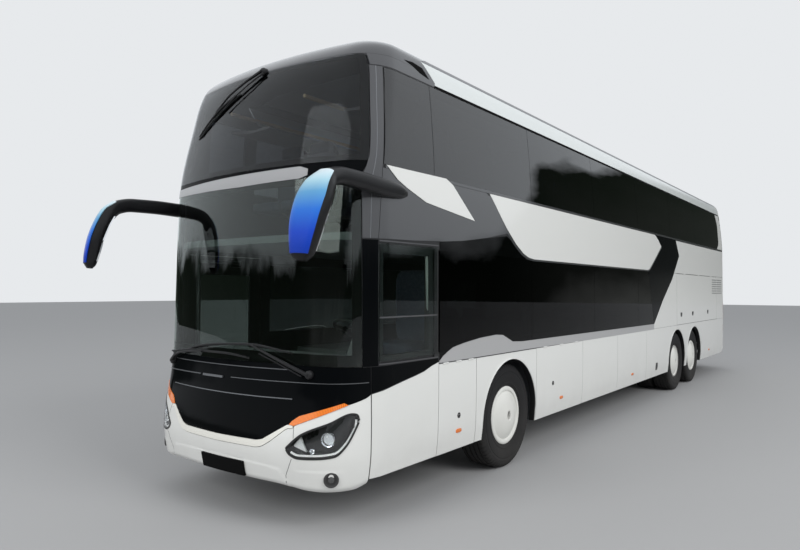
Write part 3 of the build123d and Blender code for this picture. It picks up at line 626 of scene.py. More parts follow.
lamp_foot, lamp_brow = lamp_low(lamp_ways), lamp_high(lamp_ways)
for k, label in SIDES:
    flip = k < 0
    panel(f"lamp_bowl_{label}", [strip(lamp_ways, lamp_foot, lamp_brow)], bowl_place, black_plastic,
          proud=-0.004, thick=0.01, step=1, rows=20, flip=flip)
    panel(f"lamp_cover_{label}", [strip(lamp_ways, lamp_foot + 0.002, lamp_brow - 0.002)], front_place,
          lamp_glass, "coach", *(["headlamps"] if k > 0 else []), proud=0.003, thick=0.004, step=1, rows=12,
          flip=flip)
    rim_ways = np.linspace(LAMP_TIP + 0.012, LAMP_END - 0.006, 40)
    panel(f"lamp_gasket_{label}", [ribbon(pairs(rim_ways, lamp_low(rim_ways) + 0.008), 0.016),
                                   ribbon(pairs(rim_ways, lamp_high(rim_ways) - 0.008), 0.016)],
          front_place, black_plastic, proud=0.0045, thick=0.003, step=1, rows=2, flip=flip)
    glow = np.linspace(0.8, 1.287, 34)
    glow_line = np.concatenate((pairs(glow, lamp_low(glow) + 0.028), [(1.294, 0.8), (1.29, 0.86)]))
    panel(f"lamp_strip_{label}", [ribbon(glow_line, 0.014)], front_place, strip_glow, proud=-0.008,
          thick=0.01, step=1, rows=3, flip=flip)
    panel(f"lamp_reflector_{label}", [([(0.812, 0.655), (0.935, 0.622)], [(0.812, 0.662), (0.865, 0.725)])],
          reflector_place, reflector, proud=0.0, thick=0.02, step=0.02, rows=5, flip=flip)
    panel(f"lamp_fins_{label}", [fin(a) for a in (0.92, 0.95, 0.98)], front_place, black_gloss, proud=-0.03,
          thick=0.03, step=0.02, rows=3, flip=flip)
    at, way = place_and_way(front_place, k * 1.09, 0.716)
    way = way + np.array((0, -0.6, 0))
    turned(f"lamp_lens_ring_{label}", [(0.05, -0.05), (0.056, -0.03), (0.058, -0.018), (0.054, -0.012),
                                       (0.047, -0.016), (0.044, -0.05), (0.05, -0.05)], at, way, chrome)
    dome = [(0.044 * np.cos(a), -0.042 + 0.028 * np.sin(a)) for a in np.linspace(0, np.pi / 2, 9)]
    turned(f"lamp_lens_{label}", [(0, -0.044)] + dome, at, way,
           clear_material(f"lens_{label}", (0.9, 0.93, 0.96)))
    turned(f"lamp_lens_back_{label}", [(0, -0.056), (0.02, -0.055), (0.044, -0.046), (0.044, -0.05),
                                       (0, -0.05)], at, way, strip_glow)
    at, way = place_and_way(front_place, k * 0.975, 0.625)
    turned(f"lamp_small_ring_{label}", [(0.017, -0.04), (0.021, -0.02), (0.016, -0.016), (0.012, -0.03),
                                        (0, -0.034), (0, -0.04), (0.017, -0.04)], at, way, chrome)


# The two stacked windscreens: bonded curved glass, clear green below and grey above, each with a
# black printed border behind its edge, and the dark band with its silver strip between them.
clear_green = clear_material("clear_green_glass", (0.68, 0.78, 0.73))
grey_glass = clear_material("grey_glass", (0.32, 0.34, 0.355), ior=1.35)


def front_band(name, heights, station, material, body="coach", *stands_for, proud=0.0, thick=0.006,
               columns=72):
    """A plate across the whole front between two heights, out to a station on both sides."""
    z = np.asarray(heights, float)[:, None]
    s = np.linspace(-1, 1, columns + 1)[None, :] * front_reach(station(z), z)
    return dress(plate(name, [front_place(s, z, proud)], [front_place(s, z, proud - thick)]), material, body,
                 *stands_for)


def lower_edge(z):
    """Station of the lower windscreen's side edge."""
    return 0.424 + 0 * z


def upper_edge_station(z):
    """Station of the upper windscreen's side edge."""
    return np.interp(z, (2.85, 3.67, 3.77), (0.474, 0.594, 0.6))


front_band("windscreen_lower", np.linspace(1.256, 2.742, 26), lower_edge, clear_green, "coach",
           "windscreen_lower", proud=0.001)
front_band("windscreen_upper", np.linspace(2.858, 3.764, 22), upper_edge_station, grey_glass, "coach",
           "windscreen_upper", proud=0.001)
frit = finish("black_frit", (0.004, 0.004, 0.004), 0.8, dusty=0.0, relief=0.3, shine=0.08)
for frit_name, low, high in (("foot", 1.25, 1.345), ("brow", 2.68, 2.748), ("upper_foot", 2.852, 2.905),
                             ("upper_brow", 3.725, 3.775)):
    front_band(f"frit_{frit_name}", np.linspace(low, high, 5),
               lower_edge if low < 2.8 else upper_edge_station, frit, proud=-0.007, thick=0.002)
for k, label in SIDES:
    for part, low, high, station in (("lower", 1.345, 2.68, lower_edge),
                                     ("upper", 2.905, 3.725, upper_edge_station)):
        z = np.linspace(low, high, 14)
        out = front_reach(station(z), z)
        panel(f"frit_side_{part}_{label}", [(pairs(out - 0.075, z), pairs(out, z))], front_place, frit,
              proud=-0.007, thick=0.002, step=1, rows=4, flip=k < 0)
front_band("band", np.linspace(2.744, 2.856, 5), lambda z: 0.424 + 0.05 * (z - 2.744) / 0.112, black_gloss,
           "coach", "band_front", proud=0, thick=0.03)
band_ways = np.array((-1.2, -1.05, -0.9, -0.6, -0.3, 0, 0.3, 0.6, 0.68, 0.76))
panel("band_silver",
      [strip(band_ways, np.interp(band_ways, (-1.2, 0, 0.7, 0.76), (2.742, 2.722, 2.738, 2.76)),
             np.interp(band_ways, (-1.2, 0, 0.68, 0.76), (2.812, 2.828, 2.838, 2.812)))], front_place,
      finish("band_silver", (0.35, 0.35, 0.355), 0.35, metal=0.3, coat=0.5, dusty=0.0, relief=0.05),
      proud=0.004, thick=0.004, step=0.05, rows=5)


# The corner pillars beside the windscreens: black mouldings below, charcoal ones above that join
# the side panel over the driver's window.
charcoal_paint = finish("charcoal_metallic_paint", (0.062, 0.063, 0.067), 0.3, metal=0.5, coat=1.0,
                        dusty=0.08, scale=900, relief=0.06)
low_z, high_z = np.linspace(1.256, 2.24, 12), np.linspace(2.25, 3.66, 16)
windscreen_side = np.interp(high_z, (2.25, 2.75, 2.85, 3.67), (0.43, 0.43, 0.48, 0.6))
window_side = np.interp(high_z, (2.25, 2.84, 3.66), (0.548, 0.59, 0.69))
ridge = windscreen_side + 0.45 * (window_side - windscreen_side)
for k, label in SIDES:
    flip = k < 0
    panel(f"pillar_low_{label}", [(pairs(0.43, low_z), pairs(0.548, low_z))], side_place, black_gloss,
          proud=0.003, step=1, rows=8, flip=flip)
    panel(f"pillar_high_{label}", [(pairs(windscreen_side, high_z), pairs(ridge - 0.003, high_z)),
                                   (pairs(ridge + 0.003, high_z), pairs(window_side, high_z))],
          side_place, charcoal_paint, proud=0.004, step=1, rows=5, flip=flip)
    panel(f"pillar_line_{label}", [ribbon(pairs(ridge, high_z), 0.006)], side_place, satin_metal,
          proud=0.005, step=1, rows=2, flip=flip)


# The wipers: two pantograph arms under the lower windscreen, parked across it, and one hung from
# the top of the upper one. Each is a steel arm in black paint with a rubber blade on a carrier.
def superellipse(angle, power):
    """Cosine and sine of the angle, each to 2 / power with its sign kept."""
    return [np.sign(f) * np.abs(f) ** (2 / power) for f in (np.cos(angle), np.sin(angle))]


def smooth_line(points, per):
    """Points along a smooth line through knots, the ways it runs there and their places among the knots."""
    points = np.asarray(points, float)
    t = np.linspace(0, len(points) - 1, (len(points) - 1) * per + 1)
    line = np.stack([smooth(t, np.arange(len(points)), points[:, i]) for i in range(3)], -1)
    way = np.gradient(line, axis=0)
    return line, way / np.linalg.norm(way, axis=1)[:, None], t


def closed_bar(name, line, rings, crease):
    """Rings along a line as a mesh, closed by a point at each end."""
    first, last = (end[:, None] + 0 * rings[:1] for end in (line[:1], line[-1:]))
    return grid_mesh(name, np.concatenate((first, rings, last)), crease)


def along(name, points, widths, heights):
    """A bar whose section, a superellipse, is carried along a smooth line; sizes go with the points."""
    line, way, t = smooth_line(points, 14)
    side_way = np.cross(way, (0, 0, 1.0))
    side_way /= np.maximum(np.linalg.norm(side_way, axis=1), 1e-9)[:, None]
    up_way = np.cross(side_way, way)
    u, v = superellipse(np.linspace(0, 2 * np.pi, 11), 2.6)
    w, h = (np.interp(t, np.arange(len(points)), sizes)[:, None, None] for sizes in (widths, heights))
    rings = line[:, None] + w / 2 * u[:, None] * side_way[:, None] + h / 2 * v[:, None] * up_way[:, None]
    return closed_bar(name, line, rings, 0.7)


wiper_black = finish("wiper_black", (0.01, 0.01, 0.011), 0.45, dusty=0.05, relief=0.2)
rubber = finish("rubber", (0.012, 0.012, 0.012), 0.7, dusty=0.1, relief=0.2)
# Each bar's lift off the glass, width and depth at its points.
WIPER_SECTIONS = {
    "arm": ((0.03, 0.045, 0.045, 0.035), (0.034, 0.028, 0.022, 0.02), (0.03, 0.024, 0.016, 0.014)),
    "arm_high": ((0.035, 0.045, 0.045, 0.035), (0.032, 0.02, 0.018, 0.018), (0.026, 0.016, 0.014, 0.014)),
    "rod": ((0.03, 0.04, 0.04), (0.01, 0.01, 0.01), (0.01, 0.01, 0.01)),
    "rod_high": ((0.03, 0.04, 0.04, 0.035), (0.02, 0.012, 0.012, 0.014), (0.016, 0.01, 0.01, 0.012)),
    "carrier": ((0.018, 0.022, 0.022, 0.018), (0.016, 0.022, 0.02, 0.01), (0.014, 0.018, 0.016, 0.01)),
    "carrier_right": ((0.018, 0.022, 0.022, 0.018), (0.012, 0.018, 0.018, 0.01), (0.014, 0.018, 0.016, 0.01)),
    "carrier_high": ((0.02, 0.026, 0.024, 0.018), (0.022, 0.028, 0.018, 0.012), (0.016, 0.02, 0.014, 0.01)),
    "blade": ((0.006, 0.007, 0.007, 0.006), (0.008, 0.01, 0.01, 0.008), (0.014, 0.014, 0.014, 0.014))}
# Each bar's points as (way, height) on the nose.
for part, line in (
        ("arm_left", [(0.86, 1.188), (0.62, 1.275), (0.4, 1.352), (0.24, 1.402)]),
        ("rod_left", [(0.8, 1.176), (0.58, 1.258), (0.36, 1.33)]),
        ("carrier_left", [(0.66, 1.352), (0.24, 1.398), (-0.28, 1.372), (-0.72, 1.3)]),
        ("blade_left", [(0.68, 1.345), (0.24, 1.39), (-0.28, 1.364), (-0.76, 1.29)]),
        ("arm_right", [(-0.98, 1.178), (-0.86, 1.245), (-0.66, 1.285), (-0.4, 1.3)]),
        ("carrier_right", [(-1.04, 1.262), (-0.55, 1.306), (-0.1, 1.31), (0.2, 1.29)]),
        ("blade_right", [(-1.06, 1.254), (-0.55, 1.298), (-0.1, 1.302), (0.22, 1.282)]),
        ("arm_high", [(0.05, 3.775), (-0.14, 3.685), (-0.34, 3.585), (-0.5, 3.485)]),
        ("rod_high", [(0.08, 3.745), (-0.08, 3.655), (-0.26, 3.555), (-0.38, 3.48)]),
        ("carrier_high", [(-0.24, 3.6), (-0.46, 3.5), (-0.62, 3.41), (-0.79, 3.3)]),
        ("blade_high", [(-0.2, 3.606), (-0.45, 3.492), (-0.62, 3.4), (-0.81, 3.28)])):
    kind, which = part.split("_")
    lift, widths, depths = WIPER_SECTIONS.get(part, WIPER_SECTIONS[kind])
    bar = along(f"wiper_{part}", front_place(*np.array(line).T, np.array(lift)), widths, depths)
    dress(bar, rubber if kind == "blade" else wiper_black, "coach",
          *(["wipers"] if part == "arm_left" else []))
    if kind == "arm":
        at, way = place_and_way(front_place, *line[0])
        turned(f"wiper_pivot_{which}", [(0, -0.02), (0.034, -0.02), (0.034, 0.02), (0.026, 0.034),
                                        (0.012, 0.04), (0, 0.041)], at, way, wiper_black, turns=24)


# The roof: a charcoal cap over the upper windscreen, a pale cove along each side between the
# windows and a grey gutter strip, and the pale roof skin, all bonded sheet and mouldings.
COVE_LOW, COVE_HIGH, GUTTER_HIGH = 3.688, 3.865, 3.932


def ring_place(t, z):
    """A point of the level outline at height z; t runs 0 to 1 on the left from nose to tail middle.

    The first 0.3 is the nose round to the side, the next 0.55 the side, the last 0.15 the tail.
    """
    nose, half, bow, corner, first, end, tail = level_form(z)
    round_front = bow * first + corner * (np.pi / 2 - first)
    tail_way = half - REAR_CORNER + REAR_CORNER * np.pi / 2
    side_start, side_end = end, tail - REAR_CORNER
    s = np.where(t < 0.3, t / 0.3 * round_front,
                 round_front + np.clip((t - 0.3) / 0.55, 0, 1) * (side_end - side_start))
    back = tail_place((1 - np.clip((t - 0.85) / 0.15, 0, 1)) * tail_way, z)
    return np.where((t > 0.85)[..., None], back, front_place(s, z))


def roof_rows(heights, first_t, last_t, columns):
    """Grid over the heights between two shares of the outline, each share a function of height."""
    z = np.asarray(heights, float)[:, None]
    t = first_t(z) + (last_t(z) - first_t(z)) * np.linspace(0, 1, columns + 1)[None, :]
    return ring_place(t, z + 0 * t)


def share_at(station, z):
    """The outline's share at a station on the straight side, or round the front corner."""
    nose, half, bow, corner, first, end, tail = level_form(z)
    s = front_reach(station, z)
    round_front = bow * first + corner * (np.pi / 2 - first)
    beyond = 0.3 + 0.55 * (s - round_front) / (tail - REAR_CORNER - end)
    return np.where(s < round_front, 0.3 * s / round_front, beyond)


def same_share(t):
    """One share of the outline at every height."""
    return lambda z: t + 0 * z


def inward(grid, depth):
    """The grid drawn by a depth towards the coach's middle line, 2 m up."""
    way = np.stack((grid[..., 0], 0 * grid[..., 1], grid[..., 2] - 2.0), -1)
    return grid - depth * way / np.linalg.norm(way, axis=-1)[..., None]


TOP_Z = np.array((3.932, 3.95, 3.966, 3.978, 3.986, 3.992, 3.996, 3.999, 4.0))


def cap_back(z):
    """Station of the cap's rear edge: raked along the cove, straight across the roof."""
    return np.interp(z, (3.67, 3.705, 3.845, 3.865, 3.94), (1.4, 1.42, 1.27, 1.25, 1.42))


def cap_front(z):
    """Station of the cap's front edge beside the upper windscreen."""
    return np.interp(z, (3.67, 3.77), (0.606, 0.612))


def behind_cap(gap):
    """The share of the outline a gap behind the cap, for any height."""
    return lambda z: share_at(cap_back(z) + gap, z)


def level_top(first_t, last_t, columns):
    """The flat middle of the roof, drawn in from the top outline to the coach's middle line."""
    rim_grid = roof_rows((4.0,), first_t, last_t, columns)[0]
    shrink = np.linspace(1, 0, 6)[:, None, None]
    return rim_grid[None] * np.concatenate((shrink, 1 + 0 * shrink, 1 + 0 * shrink), axis=-1)


def roof_piece(name, grids, depth, material, *stands_for):
    """A sheet of the roof of even depth, from the grids of its left half."""
    whole = [half for grid in grids for half in (grid, grid * (-1, 1, 1))]
    dress(plate(name, whole, [inward(grid, depth) for grid in whole]), material, "coach", *stands_for)


cap_heights = np.concatenate((np.linspace(3.772, 3.93, 14), TOP_Z[1:]))
roof_piece("roof_cap", [roof_rows(cap_heights, same_share(0), behind_cap(0), 40),
                        roof_rows(np.linspace(3.672, 3.77, 7), lambda z: share_at(cap_front(z), z),
                                  behind_cap(0), 16), level_top(same_share(0), behind_cap(0), 40)], 0.02,
           charcoal_paint, "roof_cap")
roof_piece("roof_skin", [roof_rows(np.append(GUTTER_HIGH, TOP_Z[1:]), behind_cap(0.004), same_share(1), 110),
                         level_top(behind_cap(0.004), same_share(1), 110)], 0.02,
           finish("roof_paint", (0.55, 0.56, 0.57), 0.4, coat=0.3, dusty=0.25, dust_top=8.0, relief=0.05),
           "roof")
cove_paint = finish("cove_paint", (0.66, 0.69, 0.68), 0.3, metal=0.15, coat=0.4, dusty=0.1, relief=0.03)
gutter_metal = finish("gutter_metal", (0.2, 0.2, 0.21), 0.4, metal=0.6, dusty=0.1, relief=0.05)
for cove_name, heights, rear_share, material in (
        ("cove", np.linspace(COVE_LOW, COVE_HIGH, 8), 0.86, cove_paint),
        ("gutter", np.linspace(COVE_HIGH + 0.002, GUTTER_HIGH - 0.002, 5), 1.0, gutter_metal),
        ("cove_foot", np.linspace(3.658, COVE_LOW - 0.002, 3), 0.865, frit)):
    roof_piece(f"roof_{cove_name}", [roof_rows(heights, behind_cap(0.006), same_share(rear_share), 90)],
               0.03, material)
# Each side's flat black patch at the cove's front stands for a recessed scoop: painted shade of the recess.
for k, label in SIDES:
    panel(f"roof_scoop_painted_shade_{label}", [([(0.98, 3.8), (1.1, 3.775), (1.2, 3.74)],
                                   [(1.1, 3.815), (1.24, 3.8), (1.33, 3.72)])],
          side_place, frit, proud=0.002, step=0.03, rows=5, flip=k < 0)


# The sides: white skirt and rear panels, a silver band that swells over the front wheel, black
# glass, a charcoal panel over the driver's window and a raised white panel between the decks.
SKIRT, SKIRT_TOP, BELT = 0.392, 1.203, 1.212
ARCH_R, TYRE_R = 0.592, 0.538
AXLES = (2.75, 9.45, 10.8)
GAP = 0.003


def arch_foot(station):
    """Height of a skirt's lower edge: level, or round a wheel arch."""
    foot = SKIRT + 0 * station
    for axle in AXLES:
        short = np.clip(ARCH_R ** 2 - (station - axle) ** 2, 0, None)
        foot = np.where(short > 0, np.maximum(foot, TYRE_R + np.sqrt(short)), foot)
    return foot


def arch_place(station, z, proud=0.0):
    """The left side with a lip raised round each wheel arch and beside the bumper."""
    lift = 0 * z
    for axle in AXLES:
        away = np.hypot(station - axle, np.maximum(z - TYRE_R, 0)) - ARCH_R
        lift = lift + 0.007 * np.clip(1 - away / 0.035, 0, 1) ** 2 * (away > -0.02)
    near_bumper = 0.003 * np.clip((0.75 - station) / 0.2, 0, 1)
    return side_place(station, z, proud + lift + near_bumper)


def skirt_knots(first, last):
    """Stations along a skirt panel, close together round the wheel arches."""
    turn_of = np.linspace(0, np.pi, 40)
    near = [axle - ARCH_R * np.cos(turn_of) for axle in AXLES]
    near += [np.array((axle - ARCH_R - 0.001, axle + ARCH_R + 0.001)) for axle in AXLES]
    every = np.concatenate([np.linspace(first, last, max(int((last - first) / 0.09), 2))] + near)
    return np.unique(every[(every >= first) & (every <= last)].round(5))


def skirt(name, first, last, high=SKIRT_TOP, body="coach", flip=False):
    """A white skirt panel between two stations, up to a height or to a line."""
    stations = skirt_knots(first + GAP, last - GAP)
    top = high(stations) if callable(high) else high
    panel(name, [strip(stations, arch_foot(stations), top)], arch_place, white_paint, body, step=1, rows=14,
          flip=flip)


def white_front_edge(y):
    """Top of the foremost white panel, which runs up from the nose to the silver band."""
    return np.interp(y, (0.49, 0.6, 0.8, 1.14, 1.26, 1.37), (1.042, 1.06, 1.095, 1.15, 1.19, 1.216))


REAR_SIDE = 13.69
FLAP_TOP, FLAP_FRONT, FLAP_REAR = 2.183, 9.447, 13.003
DECK_LINE, WINDOW_FOOT, WINDOW_HEAD = 2.812, 2.842, 3.655
silver_paint = finish("silver_paint", (0.45, 0.45, 0.45), 0.35, metal=0.3, coat=0.5, dusty=0.12, relief=0.05)
side_glass = clear_material("side_glass", (0.035, 0.04, 0.04), ior=1.2)
upper_glass = clear_material("upper_side_glass", (0.05, 0.053, 0.058), ior=1.8)
# The silver band's top, the white panel between the decks, and the blade behind it.
band_y = np.array((1.385, 1.45, 1.53, 1.61, 1.8, 2.1, 2.42, 2.56, 2.66, 2.78, 3.0, 5.0, 7.95))
band_top = np.array((1.222, 1.265, 1.3, 1.33, 1.358, 1.388, 1.402, 1.392, 1.355, 1.312, 1.3, 1.296, 1.29))
mid_z = np.array((2.186, 2.2, 2.24, 2.33, 2.48, 2.62, 2.72, 2.8))
mid_front = np.array((3.3, 3.16, 3.03, 2.86, 2.65, 2.49, 2.38, 2.29))
mid_rear = np.array((7.62, 7.69, 7.77, 7.93, 8.19, 8.42, 8.24, 8.04))
BLADE_FRONT = ((7.66, 2.18), (7.95, 2.345), (8.2, 2.49), (8.43, 2.625), (8.01, DECK_LINE))
BLADE_REAR = ((7.95, 1.28), (8.51, 1.69), (9.12, 2.06), (9.65, 2.52), (9.41, DECK_LINE))
# The top of the black panes, under the charcoal panel and the white one.
pane_y = np.array((1.39, 1.57, 1.8, 2.25, 2.655, 2.86, 3.03, 3.16, 3.24, 3.3, 5.09, 5.17, 6.51, 7.1, 7.62,
                   7.69, 7.95))
pane_top = np.interp(pane_y, (1.39, 1.8, 2.25, 2.62, 2.86, 3.03, 3.16, 3.3, 7.62, 7.95),
                     (2.276, 2.308, 2.366, 2.43, 2.322, 2.232, 2.192, 2.18, 2.18, 2.18))
charcoal_foot = ((0.552, 2.25), (1.0, 2.262), (1.44, 2.282), (1.8, 2.312), (2.25, 2.37), (2.655, 2.44))
rear_front_line = np.array(((7.954, BELT), (7.954, 1.28), (8.51, 1.69), (9.12, 2.06), (9.262, FLAP_TOP)))
rear_high_line = np.array(((9.275, 2.189), (9.46, 2.35), (9.65, 2.52), (9.41, 2.8)))
for k, label in SIDES:
    flip = k < 0

    def side_panel(name, patches, material, *stands_for, **sizes):
        """A panel of this side."""
        return panel(f"{name}_{label}", patches, side_place, material, "coach", *stands_for, flip=flip,
                     **sizes)

    if k > 0:
        skirt("skirt_front", 0.49, 1.38, white_front_edge)
        skirt("service_skin_front", 1.38, 2.03, SKIRT_TOP - 0.004, "service_flap_front")
        skirt("skirt_arch_front", 2.03, 3.36)
        skirt("service_skin_middle", 3.36, 4.74, SKIRT_TOP - 0.004, "service_flap_middle")
        rows = ((4.74, 6.1), (6.1, 7.52), (7.52, REAR_SIDE))
        lower_panes = ((1.39, 3.24), (3.24, 5.17), (5.17, 7.1), (7.1, 7.95))
        stretches = [(band_y, band_top)]
    else:
        skirt("skirt_corner_right", 0.49, 0.563, 1.05, flip=True)
        skirt("skirt_arch_front_right", 1.5, 3.36, flip=True)
        rows = ((3.36, 5.147), (6.453, 7.52), (7.52, REAR_SIDE))
        lower_panes = ((1.57, 3.24), (3.24, 5.09), (6.51, 7.95))
        fine = np.unique(np.concatenate((band_y, (1.506, 5.144, 6.456))))
        whole = np.interp(fine, band_y, band_top)
        stretches = [(fine[pick], whole[pick]) for pick in ((fine >= 1.5) & (fine < 5.145), fine > 6.45)]
    for number, (first, last) in enumerate(rows):
        skirt(f"skirt_{number}_{label}", first, last, SKIRT_TOP if last < 9 else BELT - 0.004, flip=flip)
    side_panel("silver_band",
               [strip(y, np.interp(y, (3.3, 3.4), (1.2075, 1.2005)), top) for y, top in stretches],
               silver_paint, proud=0.004, rows=5, step=0.1)
    side_panel("belt_line", [ribbon(pairs((stretches[0][0][0], 2.0, 2.7, 3.355), SKIRT_TOP), 0.008)],
               dark_trim, proud=0.0055, thick=0.006, rows=2, step=0.1)

    # White panels behind the blade, and the white panel between the decks with its dark edge.
    side_panel("rear_front", [(rear_front_line, pairs(FLAP_FRONT, rear_front_line[:, 1]))], white_paint,
               rows=14)
    side_panel("rear_back", [strip((FLAP_REAR, REAR_SIDE), BELT, FLAP_TOP)], white_paint)
    side_panel("rear_high", [(rear_high_line, pairs(REAR_SIDE, rear_high_line[:, 1]))], white_paint, rows=30)
    side_panel("mid_edge", [(pairs(mid_front - 0.035, mid_z - 0.008), pairs(mid_rear + 0.03, mid_z - 0.008))],
               charcoal_paint, proud=0.0035, thick=0.008, rows=36, step=0.05)
    side_panel("mid_panel", [(pairs(mid_front, mid_z + 0.012), pairs(mid_rear, mid_z + 0.012))], white_paint,
               proud=0.006, thick=0.008, rows=36, step=0.05)
    side_panel("blade", [(BLADE_FRONT, BLADE_REAR)], black_gloss, proud=0.0025, rows=14)
    side_panel("under_window_line", [ribbon(pairs((0.62, 4.0, 9.0, REAR_SIDE), 2.827), 0.026)],
               charcoal_paint, proud=0.007, thick=0.008, rows=2, step=0.2)

    # Charcoal panel over the cab, white arrow on it, and the black panes under it.
    side_panel("charcoal", [(charcoal_foot, pairs((0.592, 0.95, 1.3, 1.6, 1.92, 2.235), DECK_LINE))],
               charcoal_paint, proud=0.004, rows=8, step=0.06)
    side_panel("arrow", [([(0.63, 2.838), (0.77, 2.742), (0.9, 2.69), (1.18, 2.6), (1.99, 2.512)],
                          [(0.631, 2.8385), (0.9, 2.842), (1.2, 2.846), (1.49, 2.85), (1.6, 2.808)])],
               white_paint, proud=0.009, thick=0.008, rows=6, step=0.04)
    for number, (first, last) in enumerate(lower_panes):
        inside = [knots[(knots > first) & (knots < last)] for knots in (pane_y, band_y)]
        y = np.unique(np.concatenate((*inside, (first + GAP, last - GAP))))
        foot, top = np.interp(y, band_y, band_top) + 0.002, np.interp(y, pane_y, pane_top)
        if last > 7.9:
            top = np.where(y > 7.66, np.interp(y, (7.66, 7.95), (2.18, 1.3)), top)
        side_panel(f"lower_pane_{number}", [strip(y, foot, top)], side_glass,
                   *([f"windows_{label}"] if number == 0 else []), proud=0.002, thick=0.006)

    # The upper panes between slanting ends, the white post behind them, and the luggage flap.
    seams_high = (0.0, 1.31, 3.24, 5.17, 7.1, 9.03, 10.96, 14.0)
    for number, (first, last) in enumerate(zip(seams_high, seams_high[1:])):
        z = np.linspace(WINDOW_FOOT, WINDOW_HEAD, 9)
        front_border = np.maximum(first + GAP, np.interp(z, (2.84, 3.67), (0.605, 0.706)))
        rear_border = np.minimum(last - GAP, np.interp(z, (2.842, 2.96, 3.42, 3.655),
                                                       (13.12, 13.32, 13.34, 13.2)))
        side_panel(f"upper_pane_{number}", [(pairs(front_border, z), pairs(rear_border, z))], upper_glass,
                   proud=0.002, thick=0.006, rows=20, step=0.12)
    rear_z = (2.842, 2.96, 3.2, 3.42, 3.655)
    side_panel("rear_post", [(pairs((13.127, 13.327, 13.34, 13.347, 13.207), rear_z),
                              pairs(REAR_SIDE, rear_z))], white_paint, rows=8)
    panel(f"luggage_skin_{label}", [strip((9.457, 10.4, 11.4, 12.993), BELT + 0.01, 2.172)], side_place,
          white_paint, f"luggage_flap_{label}", flip=flip)


# Small fittings on the sides: amber marker lamps and round locks on the skirt, grey intake slats
# over the luggage flap's rear edge, its three handles and a cup grip ahead of the drive axle.
dark_metal = finish("dark_metal", (0.05, 0.05, 0.052), 0.4, metal=0.7, dusty=0.1, relief=0.1)
grille_grey = finish("grille_grey", (0.16, 0.16, 0.16), 0.5, dusty=0.1, relief=0.1)
LOCK = ((0, 0.0), (0.026, 0.0), (0.026, 0.004), (0.021, 0.0065), (0.01, 0.005), (0.009, 0.002), (0, 0.002))
MARKER_RINGS = ((1, -0.004), (1, 0.007), (0.9, 0.011), (0.5, 0.013), (0, 0.0135))
HANDLE_REACH, HANDLE_Z = np.array((0.045, 0.05, 0.045)), (1.36, 1.4, 1.44)


def handle_place(station, z, proud=0.0):
    """The side, with the handles' upper part 4 mm proud."""
    return side_place(station, z, proud + 0.004 * np.clip((z - 1.38) / 0.02, 0, 1))


for k, label in SIDES:
    flap = f"luggage_flap_{label}"
    for number, station in enumerate((1.72, 4.06, 6.8, 12.2)):
        if k < 0 and number == 0:
            continue
        u, v = superellipse(np.linspace(0, 2 * np.pi, 25), 2 / 0.55)
        rings = [side_place(station + r * 0.045 * u, 0.56 + r * 0.019 * v, lift) for r, lift in MARKER_RINGS]
        marker = grid_mesh(f"marker_{number}_{label}", np.stack(rings) * (k, 1, 1), over=k > 0)
        service = {0: "service_flap_front", 1: "service_flap_middle"} if k > 0 else {}
        dress(marker, amber_lens, service.get(number, "coach"))
    for part, first, last, body in (("side", 13.02, 13.56, "coach"), ("flap", 12.52, 12.975, flap)):
        slats = [strip((first, (first + last) / 2, last), 1.8 + 0.05 * n, 1.817 + 0.05 * n) for n in range(7)]
        panel(f"grille_{part}_{label}", slats, side_place, grille_grey, body, proud=0.005, thick=0.006,
              rows=2, flip=k < 0)
    for number, station in enumerate((9.78, 10.69, 12.07)):
        panel(f"handle_{number}_{label}", [(pairs(station - HANDLE_REACH, HANDLE_Z),
                                            pairs(station + HANDLE_REACH, HANDLE_Z))],
              handle_place, black_plastic, flap, proud=0.004, thick=0.008, rows=4, flip=k < 0, step=0.02)
    panel(f"grip_{label}", [([(8.07, 0.5), (8.06, 0.56), (8.08, 0.62)],
                             [(8.16, 0.5), (8.18, 0.56), (8.17, 0.62)])],
          side_place, black_plastic, proud=0.006, thick=0.006, rows=3, flip=k < 0)
for number, (station, z, flap) in enumerate(((1.72, 0.7, "service_flap_front"),
                                             (3.81, 0.76, "service_flap_middle"))):
    turned(f"lock_{number}_left", LOCK, *place_and_way(side_place, station, z), dark_metal, flap, turns=20)


# The driver's window: a pane of its own in a satin frame with a sliding bar, and a cream tube
# behind its front edge.
panel("driver_pane", [([(0.562, 1.29), (0.56, 1.63), (0.566, 2.222)], pairs(1.352, (1.29, 1.63, 2.222)))],
      side_place, clear_material("driver_glass", (0.55, 0.63, 0.6), ior=1.3), proud=0.002, rows=14)
window_metal = finish("window_metal", (0.12, 0.12, 0.125), 0.4, metal=0.6, dusty=0.0, relief=0.05)
panel("driver_pane_lines", [ribbon([(0.556, 2.234), (0.95, 2.236), (1.37, 2.24)], 0.01),
                            ribbon([(0.556, 1.268), (0.95, 1.264), (1.36, 1.262)], 0.01),
                            ribbon([(0.562, 1.632), (0.95, 1.632), (1.35, 1.632)], 0.012)],
      side_place, window_metal, proud=0.006, thick=0.006, rows=2, step=0.05)
pale_trim = finish("pale_trim", (0.45, 0.44, 0.42), 0.6, dusty=0.0, relief=0.1)
panel("driver_post", [([(1.2, 2.17), (1.222, 1.7), (1.262, 1.64), (1.27, 1.3)],
                       [(1.262, 2.11), (1.275, 1.7), (1.305, 1.64), (1.305, 1.3)]),
                      ([(0.6, 2.207), (1.27, 2.195)], [(0.6, 2.196), (1.27, 2.178)])],
      side_place, pale_trim, proud=-0.02, thick=0.008, rows=3, step=0.08)
under_driver = np.array(((0.492, 1.05), (0.8, 1.103), (1.14, 1.158), (1.37, 1.222)))
panel("black_under_driver", [(under_driver, pairs(under_driver[:, 0], 1.252))], side_place, black_gloss,
      proud=0.004, rows=6)


